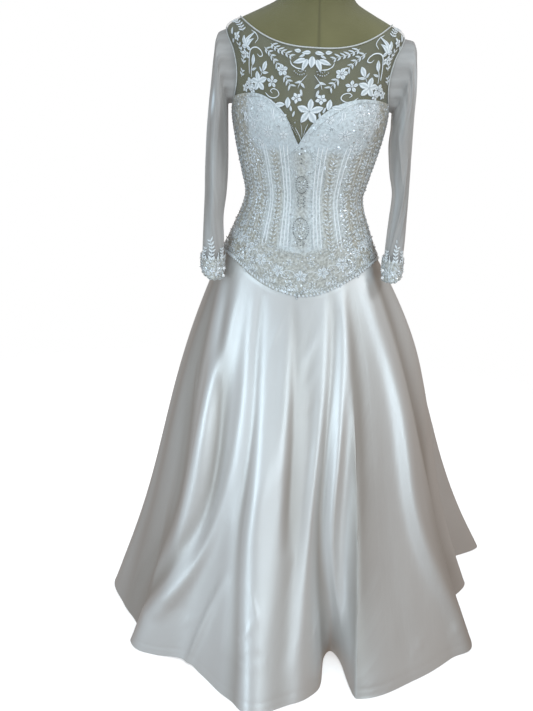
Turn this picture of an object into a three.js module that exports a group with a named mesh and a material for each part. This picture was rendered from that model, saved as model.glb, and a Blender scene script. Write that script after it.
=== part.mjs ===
// Wedding dress with an illusion yoke, a beaded basque bodice, long net sleeves and a satin
// skirt with a sweep train, worn by a limbless dress form on a pole and a round base.
// Millimetres, +Z up, the floor at z = 0, the front of the dress towards -Y, the origin under
// the pole.  An angle of 0 is the centre front, 90 is the +X side and 180 is the centre back.
import * as THREE from 'three';

// ---------------------------------------------------------------- driving sizes
const seamGap = 0.3;            // clearance between pieces that are sewn together
const netClear = 1.3;           // form to yoke
const netThick = 1.2;
const strapLift = { level: 1389, width: 17, rise: 2 };      // the net rounds the shoulder edge
const bodiceClear = 3.1;        // form to bodice, over the yoke and the top of the skirt
const bodiceThick = 1.8;
const satinClear = 0.6;         // form to the band of skirt that lies under the bodice
const satinThick = 1.5;
const layUnder = 8;             // how far the yoke reaches under the bodice
const skirtTuck = 10;           // how far the skirt reaches up under the bodice
const cordRadius = 1.2;         // bindings
const bindingGap = 1.1;         // bindings to the curved edges beside them
const bindingEase = 0.5;        // the bodice's underarm edge stays this much lower
const necklineLevel = 1407;
const armhole = { level: 1314, halfHeight: 76, front: 26, back: 22 };
const bodiceSeams = [36, 90, 145];
const frontDrop = 72;           // how far the basque dips at the centre front
const basqueSide = 940;
const backTop = 1250;           // top of the back bodice
const skirtSeams = [38, 98];
const trainMiddle = 180;        // how far back the middle of the hem lies
const base = { radius: 170, height: 14, bossRadius: 34, bossHeight: 26 };
const pole = { radius: 14, top: 799.5 };
const placketWidth = 18;

// A table with named columns, one row for each section.
const table = (columns, rows) => rows.map(
  (row) => Object.fromEntries(columns.map((name, i) => [name, row[i]])));

// Sections of the form.  A level is the height of a section at its side.
const sections = table(
  ['level', 'frontZ', 'backZ', 'half', 'front', 'back', 'power'], [
    [800, 800, 800, 172, 108, 128, 2.1],        // lower edge
    [870, 870, 870, 174, 110, 131, 2.1],        // hip
    [930, 930, 930, 168, 106, 120, 2.1],
    [985, 985, 985, 145, 99, 100, 2.1],
    [1058, 1058, 1058, 121, 90, 80, 2.15],      // waist
    [1105, 1105, 1105, 130, 97, 84, 2.15],
    [1155, 1155, 1155, 143, 107, 90, 2.2],
    [1210, 1210, 1210, 155, 117, 94, 2.2],      // bust
    [1245, 1243, 1244, 159, 115, 96, 2.2],      // underarm
    [1300, 1282, 1290, 164, 106, 96, 2.2],
    [1350, 1312, 1325, 171, 97, 93, 2.15],
    [1390, 1333, 1346, 177, 90, 88, 2.1],       // shoulder tip
    [1407, 1351, 1366, 154, 85, 83, 2.1],       // neckline
    [1428, 1395, 1405, 112, 71, 74, 2.05],
    [1446, 1428, 1440, 80, 58, 63, 2],
    [1468, 1449, 1490, 67, 53, 56, 2],          // top of the neck
  ]);
const cup = { angle: 28, width: 20, level: 1212, height: 48, rise: 9.5 };

// How far the centre front has turned from the middle of the form.
const turns = table(['level', 'turn'], [
  [860, -1], [940, -3], [1080, -6], [1180, -7], [1260, -5], [1407, -4], [1470, -4]]);
const turnReach = { from: 12, to: 62 };     // the turn fades out between these angles

// Upper edge of the bodice from the centre front to the armhole.
const sweetheart = table(['angle', 'z'], [
  [0, 1173], [3.5, 1192], [8, 1217], [15, 1240], [23, 1257], [34, 1268], [46, 1268],
  [60, 1263], [73, 1257]]);

// The hem, anticlockwise from the back, with the angle on the waist that each point falls
// from.  A high growth keeps a fold close to the floor.
const hemFolds = table(['angle', 'x', 'y', 'lift', 'growth'], [
  [-180, 40, 690, 0, 1.0],      // centre back of the train
  [-168, -70, 735, 0, 0.9],
  [-155, -170, 640, 0, 0.9],
  [-142, -280, 650, 0, 0.9],
  [-130, -320, 510, 0, 0.9],
  [-117, -398, 420, 0, 1.0],
  [-104, -372, 260, 0, 1.0],
  [-90, -430, 125, 0, 1.0],     // left lobe
  [-77, -386, 14, 0, 1.0],
  [-65, -340, -76, 0, 1.4],
  [-56, -346, -126, 0, 1.8],    // tip of the left front fold
  [-47, -286, -168, 0, 1.8],
  [-38, -210, -188, 5, 1.8],
  [-29, -160, -236, 0, 1.4],
  [-19, -84, -326, 0, 1.0],
  [-11, -38, -346, 0, 1.0],     // front
  [-2, 36, -310, 0, 1.0],
  [6, 98, -260, 0, 1.4],
  [12, 114, -190, 4, 2.0],
  [17.5, 134, -138, 12, 2.4],   // deep front hollow
  [22.5, 166, -180, 6, 2.0],
  [29, 184, -284, 0, 1.2],
  [44, 326, -206, 0, 1.0],
  [60, 424, -124, 0, 1.0],
  [74, 489, -50, 0, 1.0],       // right corner
  [85, 450, 66, 0, 1.4],
  [97, 530, 205, 0, 1.0],
  [107, 478, 300, 0, 1.2],
  [119, 612, 410, 0, 0.9],      // right lobe of the train
  [132, 505, 520, 0, 0.9],
  [145, 430, 655, 0, 0.9],
  [157, 270, 640, 0, 0.9],
  [168, 170, 735, 0, 0.9],
]);
const hemRound = table(['angle', 'x', 'y'], [
  [-180, 40, 690], [-135, -370, 500], [-90, -396, 60], [-45, -262, -222], [0, 20, -322],
  [45, 318, -218], [90, 480, 60], [135, 480, 460]]);

// Soft flutes that fall from the basque: their angle at the waist and at the hem, half their
// width in degrees, their height, and the share of the way down where they are highest.
const flutes = table(['top', 'hem', 'width', 'height', 'peak'], [
  [-150, -150, 8, 14, 0.6],
  [-120, -121, 9, 16, 0.6],
  [-96, -96, 8, 6, 0.5],
  [-72, -76, 7, 8, 0.45],
  [-40, -49, 6, 20, 0.62],
  [-16, -20, 8, 9, 0.5],
  [-3, -5, 5, 6, 0.3],
  [29, 29, 5, 14, 0.55],
  [60, 63, 7, 14, 0.5],
  [84, 90, 11, 22, 0.28],
  [112, 114, 9, 14, 0.6],
  [140, 141, 9, 14, 0.6],
  [165, 165, 8, 12, 0.6],
]);

// Rows of the bodice, as shares of the way up, closer over the bust.
const bodiceRows = [0, 0.1, 0.2, 0.3, 0.4, 0.5, 0.6, 0.68, 0.76, 0.83, 0.89, 0.95, 1];

// Rows of the skirt, as shares of the way from the basque to the hem.
const skirtRows = [0, 0.04, 0.1, 0.18, 0.27, 0.37, 0.47, 0.57, 0.67, 0.77, 0.86, 0.94, 1];

// Sleeve sections from the shoulder to the wrist: outermost and innermost points, the middle
// from front to back, and half the depth.
const sleeveColumns = ['outX', 'outZ', 'inX', 'inZ', 'y', 'deep'];
const sleeveSections = {
  left: table(sleeveColumns, [
    [197, 1376, 169, 1240, -3, 47],
    [203, 1338, 170, 1234, -3, 53],
    [207, 1288, 169, 1224, -4, 56],
    [211, 1235, 168, 1206, -6, 56],
    [214, 1180, 166, 1172, -9, 55],
    [215, 1111, 163, 1111, -15, 52],
    [213, 1060, 163, 1060, -28, 47],
    [212, 1012, 166, 1012, -44, 42],
    [211, 966, 162, 966, -60, 36],
    [210, 930, 161, 930, -72, 32],
  ]),
  right: table(sleeveColumns, [
    [201, 1381, 169, 1240, -3, 47],
    [210, 1346, 170, 1234, -3, 53],
    [216, 1292, 170, 1226, -4, 56],
    [217, 1240, 171, 1208, -6, 56],
    [219, 1180, 170, 1174, -9, 55],
    [220, 1123, 177, 1119, -15, 50],
    [220, 1079, 184, 1079, -28, 44],
    [219, 1030, 180, 1030, -44, 42],
    [218, 983, 175, 983, -60, 36],
    [215, 945, 173, 945, -72, 32],
  ]),
};
const cuffSections = {
  left: table(sleeveColumns, [
    [210.3, 930, 160.8, 930, -71.3, 32.8], [208, 910, 161, 910, -79, 30], [203, 889, 163, 889, -86, 27]]),
  right: table(sleeveColumns, [
    [215.3, 945, 172.8, 945, -71.3, 32.8], [214, 925, 173, 925, -79, 30], [211, 904, 175, 904, -86, 27]]),
};
const buttons = { radius: 3.6, turn: 150, high: 0.42, low: 0.78 };
const cuffLap = 3;              // how far a cuff reaches above the end of its sleeve

const colours = {
  linen: 0x8c8670, net: 0xdcdcdc, lace: 0xdfe3e8, satin: 0xd3d2d4, cord: 0xf2f2f2,
  pearl: 0xf4f1ea, steel: 0x9a9a9a, cap: 0x3a3833,
};

// ---------------------------------------------------------------- numbers and curves
const degrees = Math.PI / 180;
const mix = (a, b, share) => a + (b - a) * share;
const range = (count) => Array.from({ length: count }, (_, i) => i);
const spread = (from, to, steps) => range(steps + 1).map((i) => mix(from, to, i / steps));
const bell = (distance, width) => Math.exp(-((distance / width) ** 2));
// An angle from the centre front, the same on both sides.
const sideAngle = (angle) => Math.abs((((angle % 360) + 540) % 360) - 180);

// Smooth curve through one column of a table, over another column, held flat past its ends.
function through(rows, over, column, at) {
  const last = rows.length - 1;
  const here = Math.min(Math.max(at, rows[0][over]), rows[last][over]);
  let i = 0;
  while (i < last - 1 && here > rows[i + 1][over]) i += 1;
  const slope = (k) => {
    const before = rows[Math.max(k - 1, 0)];
    const after = rows[Math.min(k + 1, last)];
    return (after[column] - before[column]) / (after[over] - before[over]);
  };
  const step = rows[i + 1][over] - rows[i][over];
  const s = (here - rows[i][over]) / step;
  const bend = s * s * (3 - 2 * s);
  return mix(rows[i][column], rows[i + 1][column], bend)
    + step * (slope(i) * s * (1 - s) ** 2 - slope(i + 1) * s * s * (1 - s));
}

// The same round a closed table of angles.
function around(rows, column, angle) {
  const turn = (row, by) => ({ ...row, angle: row.angle + by });
  const wrapped = [
    ...rows.slice(-2).map((row) => turn(row, -360)), ...rows,
    ...rows.slice(0, 3).map((row) => turn(row, 360))];
  const from = rows[0].angle;
  const inside = ((((angle - from) % 360) + 360) % 360) + from;
  return through(wrapped, 'angle', column, inside);
}

// ---------------------------------------------------------------- the form's surface
function formPoint(angle, level) {
  const at = (column) => through(sections, 'level', column, level);
  const sine = Math.sin(angle * degrees);
  const cosine = Math.cos(angle * degrees);
  const round = 2 / at('power');
  const endZ = cosine > 0 ? at('frontZ') : at('backZ');
  const deep = cosine > 0 ? at('front') : at('back');
  const side = sideAngle(angle);
  const swell = cup.rise * bell(side - cup.angle, cup.width) * bell(level - cup.level, cup.height);
  return new THREE.Vector3(
    Math.sign(sine) * Math.abs(sine) ** round * at('half') + swell * sine,
    -Math.sign(cosine) * Math.abs(cosine) ** round * deep - swell * cosine,
    mix(endZ, level, Math.abs(sine) ** 2.5));
}

function surfaceNormal(point, a, b, stepA, stepB) {
  const alongA = point(a + stepA, b).sub(point(a - stepA, b));
  const alongB = point(a, b + stepB).sub(point(a, b - stepB));
  return alongA.cross(alongB).normalize();
}

// A point of the clothes, so far off the form.
function offForm(angle, level, distance) {
  const normal = surfaceNormal(formPoint, angle, level, 0.5, 0.5);
  return formPoint(angle, level).addScaledVector(normal, distance);
}

// The same for the net, which stands off a little where it rounds the shoulder.
function offNet(angle, level, distance) {
  const lift = strapLift.rise * bell(level - strapLift.level, strapLift.width);
  return offForm(angle, level, distance + lift);
}

// An angle on the dress, turned with its centre front.
function turned(angle, level) {
  const near = Math.min(Math.max((turnReach.to - sideAngle(angle))
    / (turnReach.to - turnReach.from), 0), 1);
  return angle + through(turns, 'level', 'turn', level) * near * near * (3 - 2 * near);
}

// Millimetres along the form turned into degrees or into levels.
function toDegrees(angle, level, length) {
  return length / formPoint(angle + 0.5, level).distanceTo(formPoint(angle - 0.5, level));
}
function toLevels(angle, level, length) {
  return length / formPoint(angle, level + 0.5).distanceTo(formPoint(angle, level - 0.5));
}

// ---------------------------------------------------------------- edges of the pieces
// The armhole, from its top (0) over the front (90) to the underarm (180).
function armholeAt(around, inset) {
  const sine = Math.sin(around * degrees);
  const cosine = Math.cos(around * degrees);
  const reach = sine > 0 ? armhole.front : armhole.back;
  const angle = 90 - sine * reach;
  const level = armhole.level + cosine * armhole.halfHeight;
  return {
    angle: angle + sine * toDegrees(angle, level, inset),
    level: level - cosine * toLevels(angle, level, inset),
  };
}

function armholeBottom(side) {
  const reach = side < 90 ? armhole.front : armhole.back;
  return armhole.level - armhole.halfHeight * Math.sqrt(1 - ((90 - side) / reach) ** 2);
}
const frontCorner = 73;         // where the sweetheart edge meets the armhole
const backCorner = 90 + armhole.back * Math.sqrt(
  1 - ((armhole.level - backTop) / armhole.halfHeight) ** 2);

function bodiceTop(angle) {
  const side = sideAngle(angle);
  if (side < frontCorner) return through(sweetheart, 'angle', 'z', side);
  if (side < backCorner) return armholeBottom(side) - bindingEase;
  return backTop;
}

function bodiceFoot(angle) {
  const side = sideAngle(angle);
  const dip = side < 90 ? frontDrop : 16;
  return basqueSide - dip * Math.abs(Math.cos(side * degrees)) ** 3.2;
}

// ---------------------------------------------------------------- walls
// A closed solid from an outer and an inner sheet, each a list of rows of points.
function wall(outer, inner, closedRound = false) {
  const rows = outer.length;
  const columns = outer[0].length;
  const points = [...outer.flat(), ...inner.flat()];
  const half = rows * columns;
  const index = (r, c, side) => side * half + r * columns + (c % columns);
  const faces = [];
  const apart = (a, b) => points[a].distanceToSquared(points[b]);
  const quad = (a, b, c, d) => {
    if (apart(a, c) <= apart(b, d)) faces.push(a, b, c, a, c, d);
    else faces.push(a, b, d, b, c, d);
  };
  const spans = closedRound ? columns : columns - 1;
  for (let r = 0; r < rows - 1; r += 1) {
    for (let c = 0; c < spans; c += 1) {
      quad(index(r, c, 0), index(r, c + 1, 0), index(r + 1, c + 1, 0), index(r + 1, c, 0));
      quad(index(r, c, 1), index(r + 1, c, 1), index(r + 1, c + 1, 1), index(r, c + 1, 1));
    }
    if (!closedRound) {
      const end = columns - 1;
      quad(index(r, 0, 0), index(r + 1, 0, 0), index(r + 1, 0, 1), index(r, 0, 1));
      quad(index(r, end, 0), index(r, end, 1), index(r + 1, end, 1), index(r + 1, end, 0));
    }
  }
  for (let c = 0; c < spans; c += 1) {
    const top = rows - 1;
    quad(index(0, c, 0), index(0, c, 1), index(0, c + 1, 1), index(0, c + 1, 0));
    quad(index(top, c, 0), index(top, c + 1, 0), index(top, c + 1, 1), index(top, c, 1));
  }
  return meshOf(points, faces);
}

// A solid from rings of points, closed at both ends by a fan.
function filled(rings) {
  const columns = rings[0].length;
  const middle = (ring) => ring.reduce(
    (sum, p) => sum.add(p), new THREE.Vector3()).divideScalar(columns);
  const last = rings.length - 1;
  const points = [...rings.flat(), middle(rings[0]), middle(rings[last])];
  const faces = [];
  const index = (r, c) => r * columns + (c % columns);
  for (let c = 0; c < columns; c += 1) {
    for (let r = 0; r < last; r += 1) {
      faces.push(index(r, c), index(r, c + 1), index(r + 1, c + 1));
      faces.push(index(r, c), index(r + 1, c + 1), index(r + 1, c));
    }
    faces.push(index(0, c + 1), index(0, c), points.length - 2);
    faces.push(index(last, c), index(last, c + 1), points.length - 1);
  }
  return meshOf(points, faces);
}

function meshOf(points, faces) {
  const geometry = new THREE.BufferGeometry();
  const flat = points.flatMap((p) => [p.x, p.y, p.z]);
  geometry.setAttribute('position', new THREE.Float32BufferAttribute(flat, 3));
  geometry.setIndex(faces);
  geometry.computeVertexNormals();
  return geometry;
}

// A cord round a closed loop: centre(share) and out(share), the way off the form.
function cordLoop(centre, out, steps, sides) {
  const rings = range(steps).map((i) => {
    const share = i / steps;
    const along = centre(share + 0.5 / steps).sub(centre(share - 0.5 / steps)).normalize();
    const up = out(share).addScaledVector(along, -out(share).dot(along)).normalize();
    const across = up.clone().cross(along);
    return range(sides).map((k) => {
      const turn = (k / sides) * 2 * Math.PI;
      return centre(share)
        .addScaledVector(up, Math.cos(turn) * cordRadius)
        .addScaledVector(across, Math.sin(turn) * cordRadius);
    });
  });
  const points = rings.flat();
  const faces = [];
  const index = (r, k) => (r % steps) * sides + (k % sides);
  for (let r = 0; r < steps; r += 1) {
    for (let k = 0; k < sides; k += 1) {
      faces.push(index(r, k), index(r + 1, k), index(r + 1, k + 1));
      faces.push(index(r, k), index(r + 1, k + 1), index(r, k + 1));
    }
  }
  return meshOf(points, faces);
}

const group = new THREE.Group();
function add(name, geometry, colour, roughness = 0.7, metalness = 0) {
  const material = new THREE.MeshStandardMaterial({ color: colour, roughness, metalness });
  const mesh = new THREE.Mesh(geometry, material);
  mesh.name = name;
  group.add(mesh);
  return mesh;
}

// ---------------------------------------------------------------- dress form and stand
const formColumns = 36;
const neckSlope = sections.at(-1);
function addForm() {
  const angles = range(formColumns).map((i) => (i * 360) / formColumns);
  const levels = sections.map((section) => section.level);
  const extra = [900, 958, 1020, 1082, 1182, 1228, 1272];
  const rows = [...levels, ...extra].sort((a, b) => a - b);
  add('form_torso', filled(rows.map((level) => angles.map(
    (angle) => formPoint(turned(angle, level), level)))),
    colours.linen, 0.95);
  const rim = angles.map((a) => formPoint(a, neckSlope.level));
  const inset = (shrink, rise) => rim.map((p) => new THREE.Vector3(
    p.x * shrink, p.y * shrink, p.z + rise));
  add('form_neck_cap', filled([inset(1, seamGap), inset(1, 5), inset(0.93, 8)]),
    colours.cap, 0.6);
}

function addStand() {
  const profile = (points) => points.map(([x, y]) => new THREE.Vector2(x, y));
  const foot = new THREE.LatheGeometry(profile([
    [0, 0], [base.radius, 0], [base.radius, base.height * 0.6],
    [base.radius - 8, base.height], [base.bossRadius, base.height],
    [base.bossRadius - 6, base.bossHeight], [0, base.bossHeight]]), 30);
  add('form_base', foot.rotateX(Math.PI / 2), colours.steel, 0.4, 0.6);
  const length = pole.top - base.bossHeight - seamGap;
  const rod = new THREE.CylinderGeometry(pole.radius, pole.radius, length, 20);
  const mesh = add('form_pole', rod.rotateX(Math.PI / 2), colours.steel, 0.35, 0.8);
  mesh.position.z = base.bossHeight + seamGap + length / 2;
}

// ---------------------------------------------------------------- yoke
// A patch of net between four edges, each a function of a share that gives angle and level.
function addYoke(name, edges, columns, rows) {
  const sheet = (distance) => spread(0, 1, rows).map((v) => spread(0, 1, columns).map((u) => {
    const blend = (key) => mix(edges.foot(u)[key], edges.top(u)[key], v)
      + mix(edges.start(v)[key], edges.end(v)[key], u)
      - mix(mix(edges.foot(0)[key], edges.foot(1)[key], u),
        mix(edges.top(0)[key], edges.top(1)[key], u), v);
    const level = blend('level');
    return offNet(turned(blend('angle'), level), level, distance);
  }));
  add(name, wall(sheet(netClear + netThick), sheet(netClear)), colours.net, 0.8);
}

// The strap's end along the shoulder, then the neckline, then the other strap's end.
function necklineEdge(u, from, to) {
  const strap = 0.07;
  const tip = armhole.level + armhole.halfHeight;
  const slide = (share) => mix(tip, necklineLevel, share);
  if (u < strap && from.shoulder) return { angle: from.angle, level: slide(u / strap) };
  if (u > 1 - strap && to.shoulder) return { angle: to.angle, level: slide((1 - u) / strap) };
  const low = from.shoulder ? strap : 0;
  const high = to.shoulder ? 1 - strap : 1;
  return { angle: mix(from.angle, to.angle, (u - low) / (high - low)), level: necklineLevel };
}

function addYokes() {
  const shoulderGap = toDegrees(90, 1398, seamGap / 2);
  const frontSweep = 180 - Math.acos((armhole.level - bodiceTop(frontCorner) + layUnder)
    / armhole.halfHeight) / degrees;
  const backSweep = 180 - Math.acos((armhole.level - backTop + layUnder)
    / armhole.halfHeight) / degrees;
  const front = (sign) => (v) => {
    const edge = armholeAt(mix(frontSweep, 0, v), 0);
    return { angle: sign * (edge.angle - shoulderGap * v), level: edge.level };
  };
  const back = (sign) => (v) => {
    const edge = armholeAt(-mix(backSweep, 0, v), 0);
    return { angle: sign * (edge.angle + shoulderGap * v), level: edge.level };
  };
  const shoulder = 90 - shoulderGap;
  addYoke('yoke_front', {
    start: front(-1),
    end: front(1),
    top: (u) => necklineEdge(u, { angle: -shoulder, shoulder: true },
      { angle: shoulder, shoulder: true }),
    foot: (u) => {
      const corner = front(1)(0).angle;
      const angle = mix(-corner, corner, u);
      return { angle, level: through(sweetheart, 'angle', 'z', sideAngle(angle)) - layUnder };
    },
  }, 26, 10);
  for (const [side, sign] of [['left', -1], ['right', 1]]) {
    const centre = 180 - toDegrees(180, 1330, seamGap / 2);
    const edges = {
      start: back(1),
      end: (v) => ({ angle: centre, level: mix(backTop - layUnder, necklineLevel, v) }),
      top: (u) => necklineEdge(u, { angle: 180 - shoulder, shoulder: true }, { angle: centre }),
      foot: (u) => ({ angle: mix(back(1)(0).angle, centre, u), level: backTop - layUnder }),
    };
    addYoke(`yoke_back_${side}`, sign > 0 ? edges : mirrored(edges), 10, 8);
  }
}

function mirrored(edges) {
  const flip = ({ angle, level }) => ({ angle: -angle, level });
  return {
    start: (v) => flip(edges.end(v)),
    end: (v) => flip(edges.start(v)),
    top: (u) => flip(edges.top(1 - u)),
    foot: (u) => flip(edges.foot(1 - u)),
  };
}

function addBindings() {
  const cordClear = netClear + cordRadius;
  const beyond = cordRadius + bindingGap;
  const neck = (share) => {
    const angle = share * 360;
    return { angle, level: necklineLevel + toLevels(angle, necklineLevel, beyond) };
  };
  const loop = (place) => [
    (share) => offForm(place(share).angle, place(share).level, cordClear),
    (share) => surfaceNormal(formPoint, place(share).angle, place(share).level, 0.5, 0.5)];
  add('neck_binding', cordLoop(...loop(neck), 48, 5), colours.cord, 0.7);
  for (const [side, sign] of [['left', -1], ['right', 1]]) {
    const place = (share) => {
      const edge = armholeAt(share * 360 * sign, beyond);
      return { angle: edge.angle * sign, level: edge.level };
    };
    add(`armhole_binding_${side}`, cordLoop(...loop(place), 32, 5), colours.cord, 0.7);
  }
}

// ---------------------------------------------------------------- bodice
function addPanel(name, from, to, columns) {
  const sheet = (distance) => bodiceRows.map((v) => spread(from, to, columns).map(
    (angle, c) => {
      const level = mix(bodiceFoot(angle), bodiceTop(angle), v);
      const trim = toDegrees(angle, level, seamGap / 2) * ((c === 0) - (c === columns));
      return offForm(turned(angle + trim, level), level, distance);
    }));
  add(name, wall(sheet(bodiceClear + bodiceThick), sheet(bodiceClear)), colours.lace, 0.6);
}

function addBodice() {
  const [princess, side, back] = bodiceSeams;
  addPanel('bodice_front', -princess, princess, 16);
  addPanel('bodice_side_front_right', princess, side, 9);
  addPanel('bodice_side_front_left', -side, -princess, 9);
  addPanel('bodice_side_back_right', side, back, 7);
  addPanel('bodice_side_back_left', -back, -side, 7);
  addPanel('bodice_back_right', back, 180, 5);
  addPanel('bodice_back_left', 180, 360 - back, 5);
}

// A strip over the closure at the centre back, on the yoke and on the bodice.
function addPlacket(name, low, high, distance) {
  const rows = 10;
  const sheet = (off) => spread(low, high, rows).map((level) => {
    const reach = toDegrees(180, level, placketWidth / 2);
    return spread(180 - reach, 180 + reach, 4).map((angle) => offNet(angle, level, off));
  });
  add(name, wall(sheet(distance + netThick), sheet(distance)), colours.lace, 0.6);
}

// ---------------------------------------------------------------- sleeves
const sleeveColumnsRound = 18;
const tube = (section, grow, sign) => range(sleeveColumnsRound).map((i) => {
  const turn = (i / sleeveColumnsRound) * 2 * Math.PI;
  const out = new THREE.Vector3(
    (section.outX - section.inX) / 2, 0, (section.outZ - section.inZ) / 2);
  const length = out.length();
  const reach = Math.cos(turn) * (1 + grow / length);
  return new THREE.Vector3(
    sign * ((section.outX + section.inX) / 2 + out.x * reach),
    section.y - Math.sin(turn) * (section.deep + grow),
    (section.outZ + section.inZ) / 2 + out.z * reach);
});

function addSleeve(side, sign) {
  const inset = 2 * cordRadius + bindingGap + 2 * seamGap;
  const mouth = (extra, off) => range(sleeveColumnsRound).map((i) => {
    const edge = armholeAt((i * 360) / sleeveColumnsRound, inset + extra);
    return offForm(edge.angle * sign, edge.level, off);
  });
  const order = (ring) => (sign > 0 ? [...ring].reverse() : ring);
  const lines = sleeveSections[side];
  const outer = [mouth(0, netClear), ...lines.map((line) => tube(line, 0, sign))];
  const inner = [mouth(netThick, netClear), ...lines.map((line) => tube(line, -netThick, sign))];
  add(`sleeve_${side}`, wall(outer.map(order).reverse(), inner.map(order).reverse(), true),
    colours.net, 0.8);
  const cuff = cuffSections[side];
  const lift = (line, i) => ({
    ...line, outZ: line.outZ + (i ? 0 : cuffLap), inZ: line.inZ + (i ? 0 : cuffLap) });
  const laceOuter = cuff.map((line, i) => order(tube(lift(line, i), seamGap + netThick, sign)));
  const laceInner = cuff.map((line, i) => order(tube(lift(line, i), seamGap, sign)));
  add(`cuff_${side}`, wall(laceOuter.reverse(), laceInner.reverse(), true), colours.lace, 0.6);
}

// Two pearl buttons over one another on the inner edge of a cuff, near its front.
function addButtons(side, sign) {
  const cuff = cuffSections[side];
  spread(buttons.high, buttons.low, 1).forEach((share, i) => {
    const along = (column) => mix(cuff[0][column], cuff[cuff.length - 1][column], share);
    const section = Object.fromEntries(sleeveColumns.map((column) => [column, along(column)]));
    const reach = seamGap + netThick + 2 * seamGap + buttons.radius;
    const turn = buttons.turn * degrees;
    const ball = new THREE.SphereGeometry(buttons.radius, 8, 6);
    const mesh = add(`cuff_button_${side}_${i + 1}`, ball, colours.pearl, 0.25);
    mesh.position.set(
      sign * ((section.outX + section.inX) / 2
        + Math.cos(turn) * ((section.outX - section.inX) / 2 + reach)),
      section.y - Math.sin(turn) * (section.deep + reach),
      section.outZ);
  });
}

// ---------------------------------------------------------------- skirt
const fullness = (share) => share ** 0.93
  + 0.05 * Math.sin(2 * Math.PI * share) * (1 - 0.4 * share);

function fluteHeight(angle, share) {
  const rise = (peak) => Math.sin(Math.min(share / peak, 1) * Math.PI / 2)
    * (share > peak ? Math.cos((share - peak) / (1 - peak) * Math.PI / 2) : 1);
  return flutes.reduce((sum, flute) => {
    const off = ((((angle - mix(flute.top, flute.hem, share)) % 360) + 540) % 360) - 180;
    return sum + flute.height * bell(off, flute.width) * rise(flute.peak);
  }, 0);
}

function skirtPoint(angle, share) {
  const level = bodiceFoot(angle) - 1;
  if (share <= 0) {
    const high = level - share * skirtTuck;
    return offForm(turned(angle, high), high, satinClear);
  }
  const top = offForm(turned(angle, level), level, satinClear);
  const growth = share ** around(hemFolds, 'growth', angle);
  const hem = (column) => mix(around(hemRound, column, angle),
    around(hemFolds, column, angle), growth);
  const lift = Math.max(0, around(hemFolds, 'lift', angle));
  const swell = fluteHeight(angle, share);
  const outward = new THREE.Vector3(hem('x'), hem('y') - trainMiddle * share, 0).normalize();
  return new THREE.Vector3(
    mix(top.x, hem('x'), fullness(share)),
    mix(top.y, hem('y'), fullness(share)),
    mix(top.z, lift, share)).addScaledVector(outward, swell);
}

function addSkirt(name, from, to, columns) {
  const shares = [-1, ...skirtRows].reverse();
  const angles = spread(from, to, columns);
  const place = (share) => angles.map((angle, c) => {
    const width = skirtPoint(angle + 0.5, share).distanceTo(skirtPoint(angle - 0.5, share));
    const trim = (seamGap / 2 / width) * ((c === 0) - (c === columns));
    return { angle: angle + trim, share };
  });
  const places = shares.map(place);
  const inner = places.map((row) => row.map((p) => skirtPoint(p.angle, p.share)));
  const outer = places.map((row) => row.map((p) => {
    const step = p.share <= 0 ? 0.2 : 0.01;
    const normal = surfaceNormal(skirtPoint, p.angle, p.share, 0.4, -step);
    const point = skirtPoint(p.angle, p.share);
    const moved = point.clone().addScaledVector(normal, satinThick);
    return p.share === 1 ? moved.setZ(point.z) : moved;
  }));
  add(name, wall(outer, inner), colours.satin, 0.35);
}

function addSkirts() {
  const [front, side] = skirtSeams;
  addSkirt('skirt_front', -front, front, 28);
  addSkirt('skirt_side_right', front, side, 15);
  addSkirt('skirt_side_left', -side, -front, 15);
  addSkirt('skirt_back_right', side, 180, 15);
  addSkirt('skirt_back_left', 180, 360 - side, 15);
}

addForm();
addStand();
addYokes();
addBindings();
addBodice();
addPlacket('back_placket', bodiceFoot(180), backTop, bodiceClear + bodiceThick + seamGap);
addPlacket('yoke_placket', backTop + 4, necklineLevel - 1, netClear + netThick + seamGap);
addSleeve('left', -1);
addSleeve('right', 1);
addButtons('left', -1);
addButtons('right', 1);
addSkirts();

export default group;
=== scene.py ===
"""Looks of a wedding dress on a dress form without limbs.

The pieces follow the solids of the frame: the same curves in millimetres, at a finer step, with
the folds, seams, net, embroidery, beads and sequins that the solids leave out.  An angle of 0 is
the centre front, 90 is the +X side and 180 is the centre back.
"""
import math

import bpy
import numpy as np
from mathutils import Matrix, Vector


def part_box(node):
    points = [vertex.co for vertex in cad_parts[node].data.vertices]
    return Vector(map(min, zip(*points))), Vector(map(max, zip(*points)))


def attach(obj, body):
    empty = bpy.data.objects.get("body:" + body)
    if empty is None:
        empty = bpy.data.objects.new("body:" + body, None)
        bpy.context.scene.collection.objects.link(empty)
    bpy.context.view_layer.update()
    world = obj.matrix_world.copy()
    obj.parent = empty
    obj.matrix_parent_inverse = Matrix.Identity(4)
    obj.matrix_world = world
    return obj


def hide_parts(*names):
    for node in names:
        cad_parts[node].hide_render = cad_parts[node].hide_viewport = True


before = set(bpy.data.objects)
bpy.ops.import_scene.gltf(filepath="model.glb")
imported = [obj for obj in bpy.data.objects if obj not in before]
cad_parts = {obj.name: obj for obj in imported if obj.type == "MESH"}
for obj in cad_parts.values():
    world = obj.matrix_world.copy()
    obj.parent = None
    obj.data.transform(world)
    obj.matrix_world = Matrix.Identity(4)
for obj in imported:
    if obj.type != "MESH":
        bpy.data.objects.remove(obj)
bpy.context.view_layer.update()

MM = 0.001
SIDES = (("left", -1), ("right", 1))    # the name of each side and the sign of its X
random = np.random.default_rng(20)


# ------------------------------------------------------------------ sizes, as in the frame
def table(columns, rows):
    """A table with named columns, as an array for each."""
    return {name: np.array([row[i] for row in rows], float) for i, name in enumerate(columns)}


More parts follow.
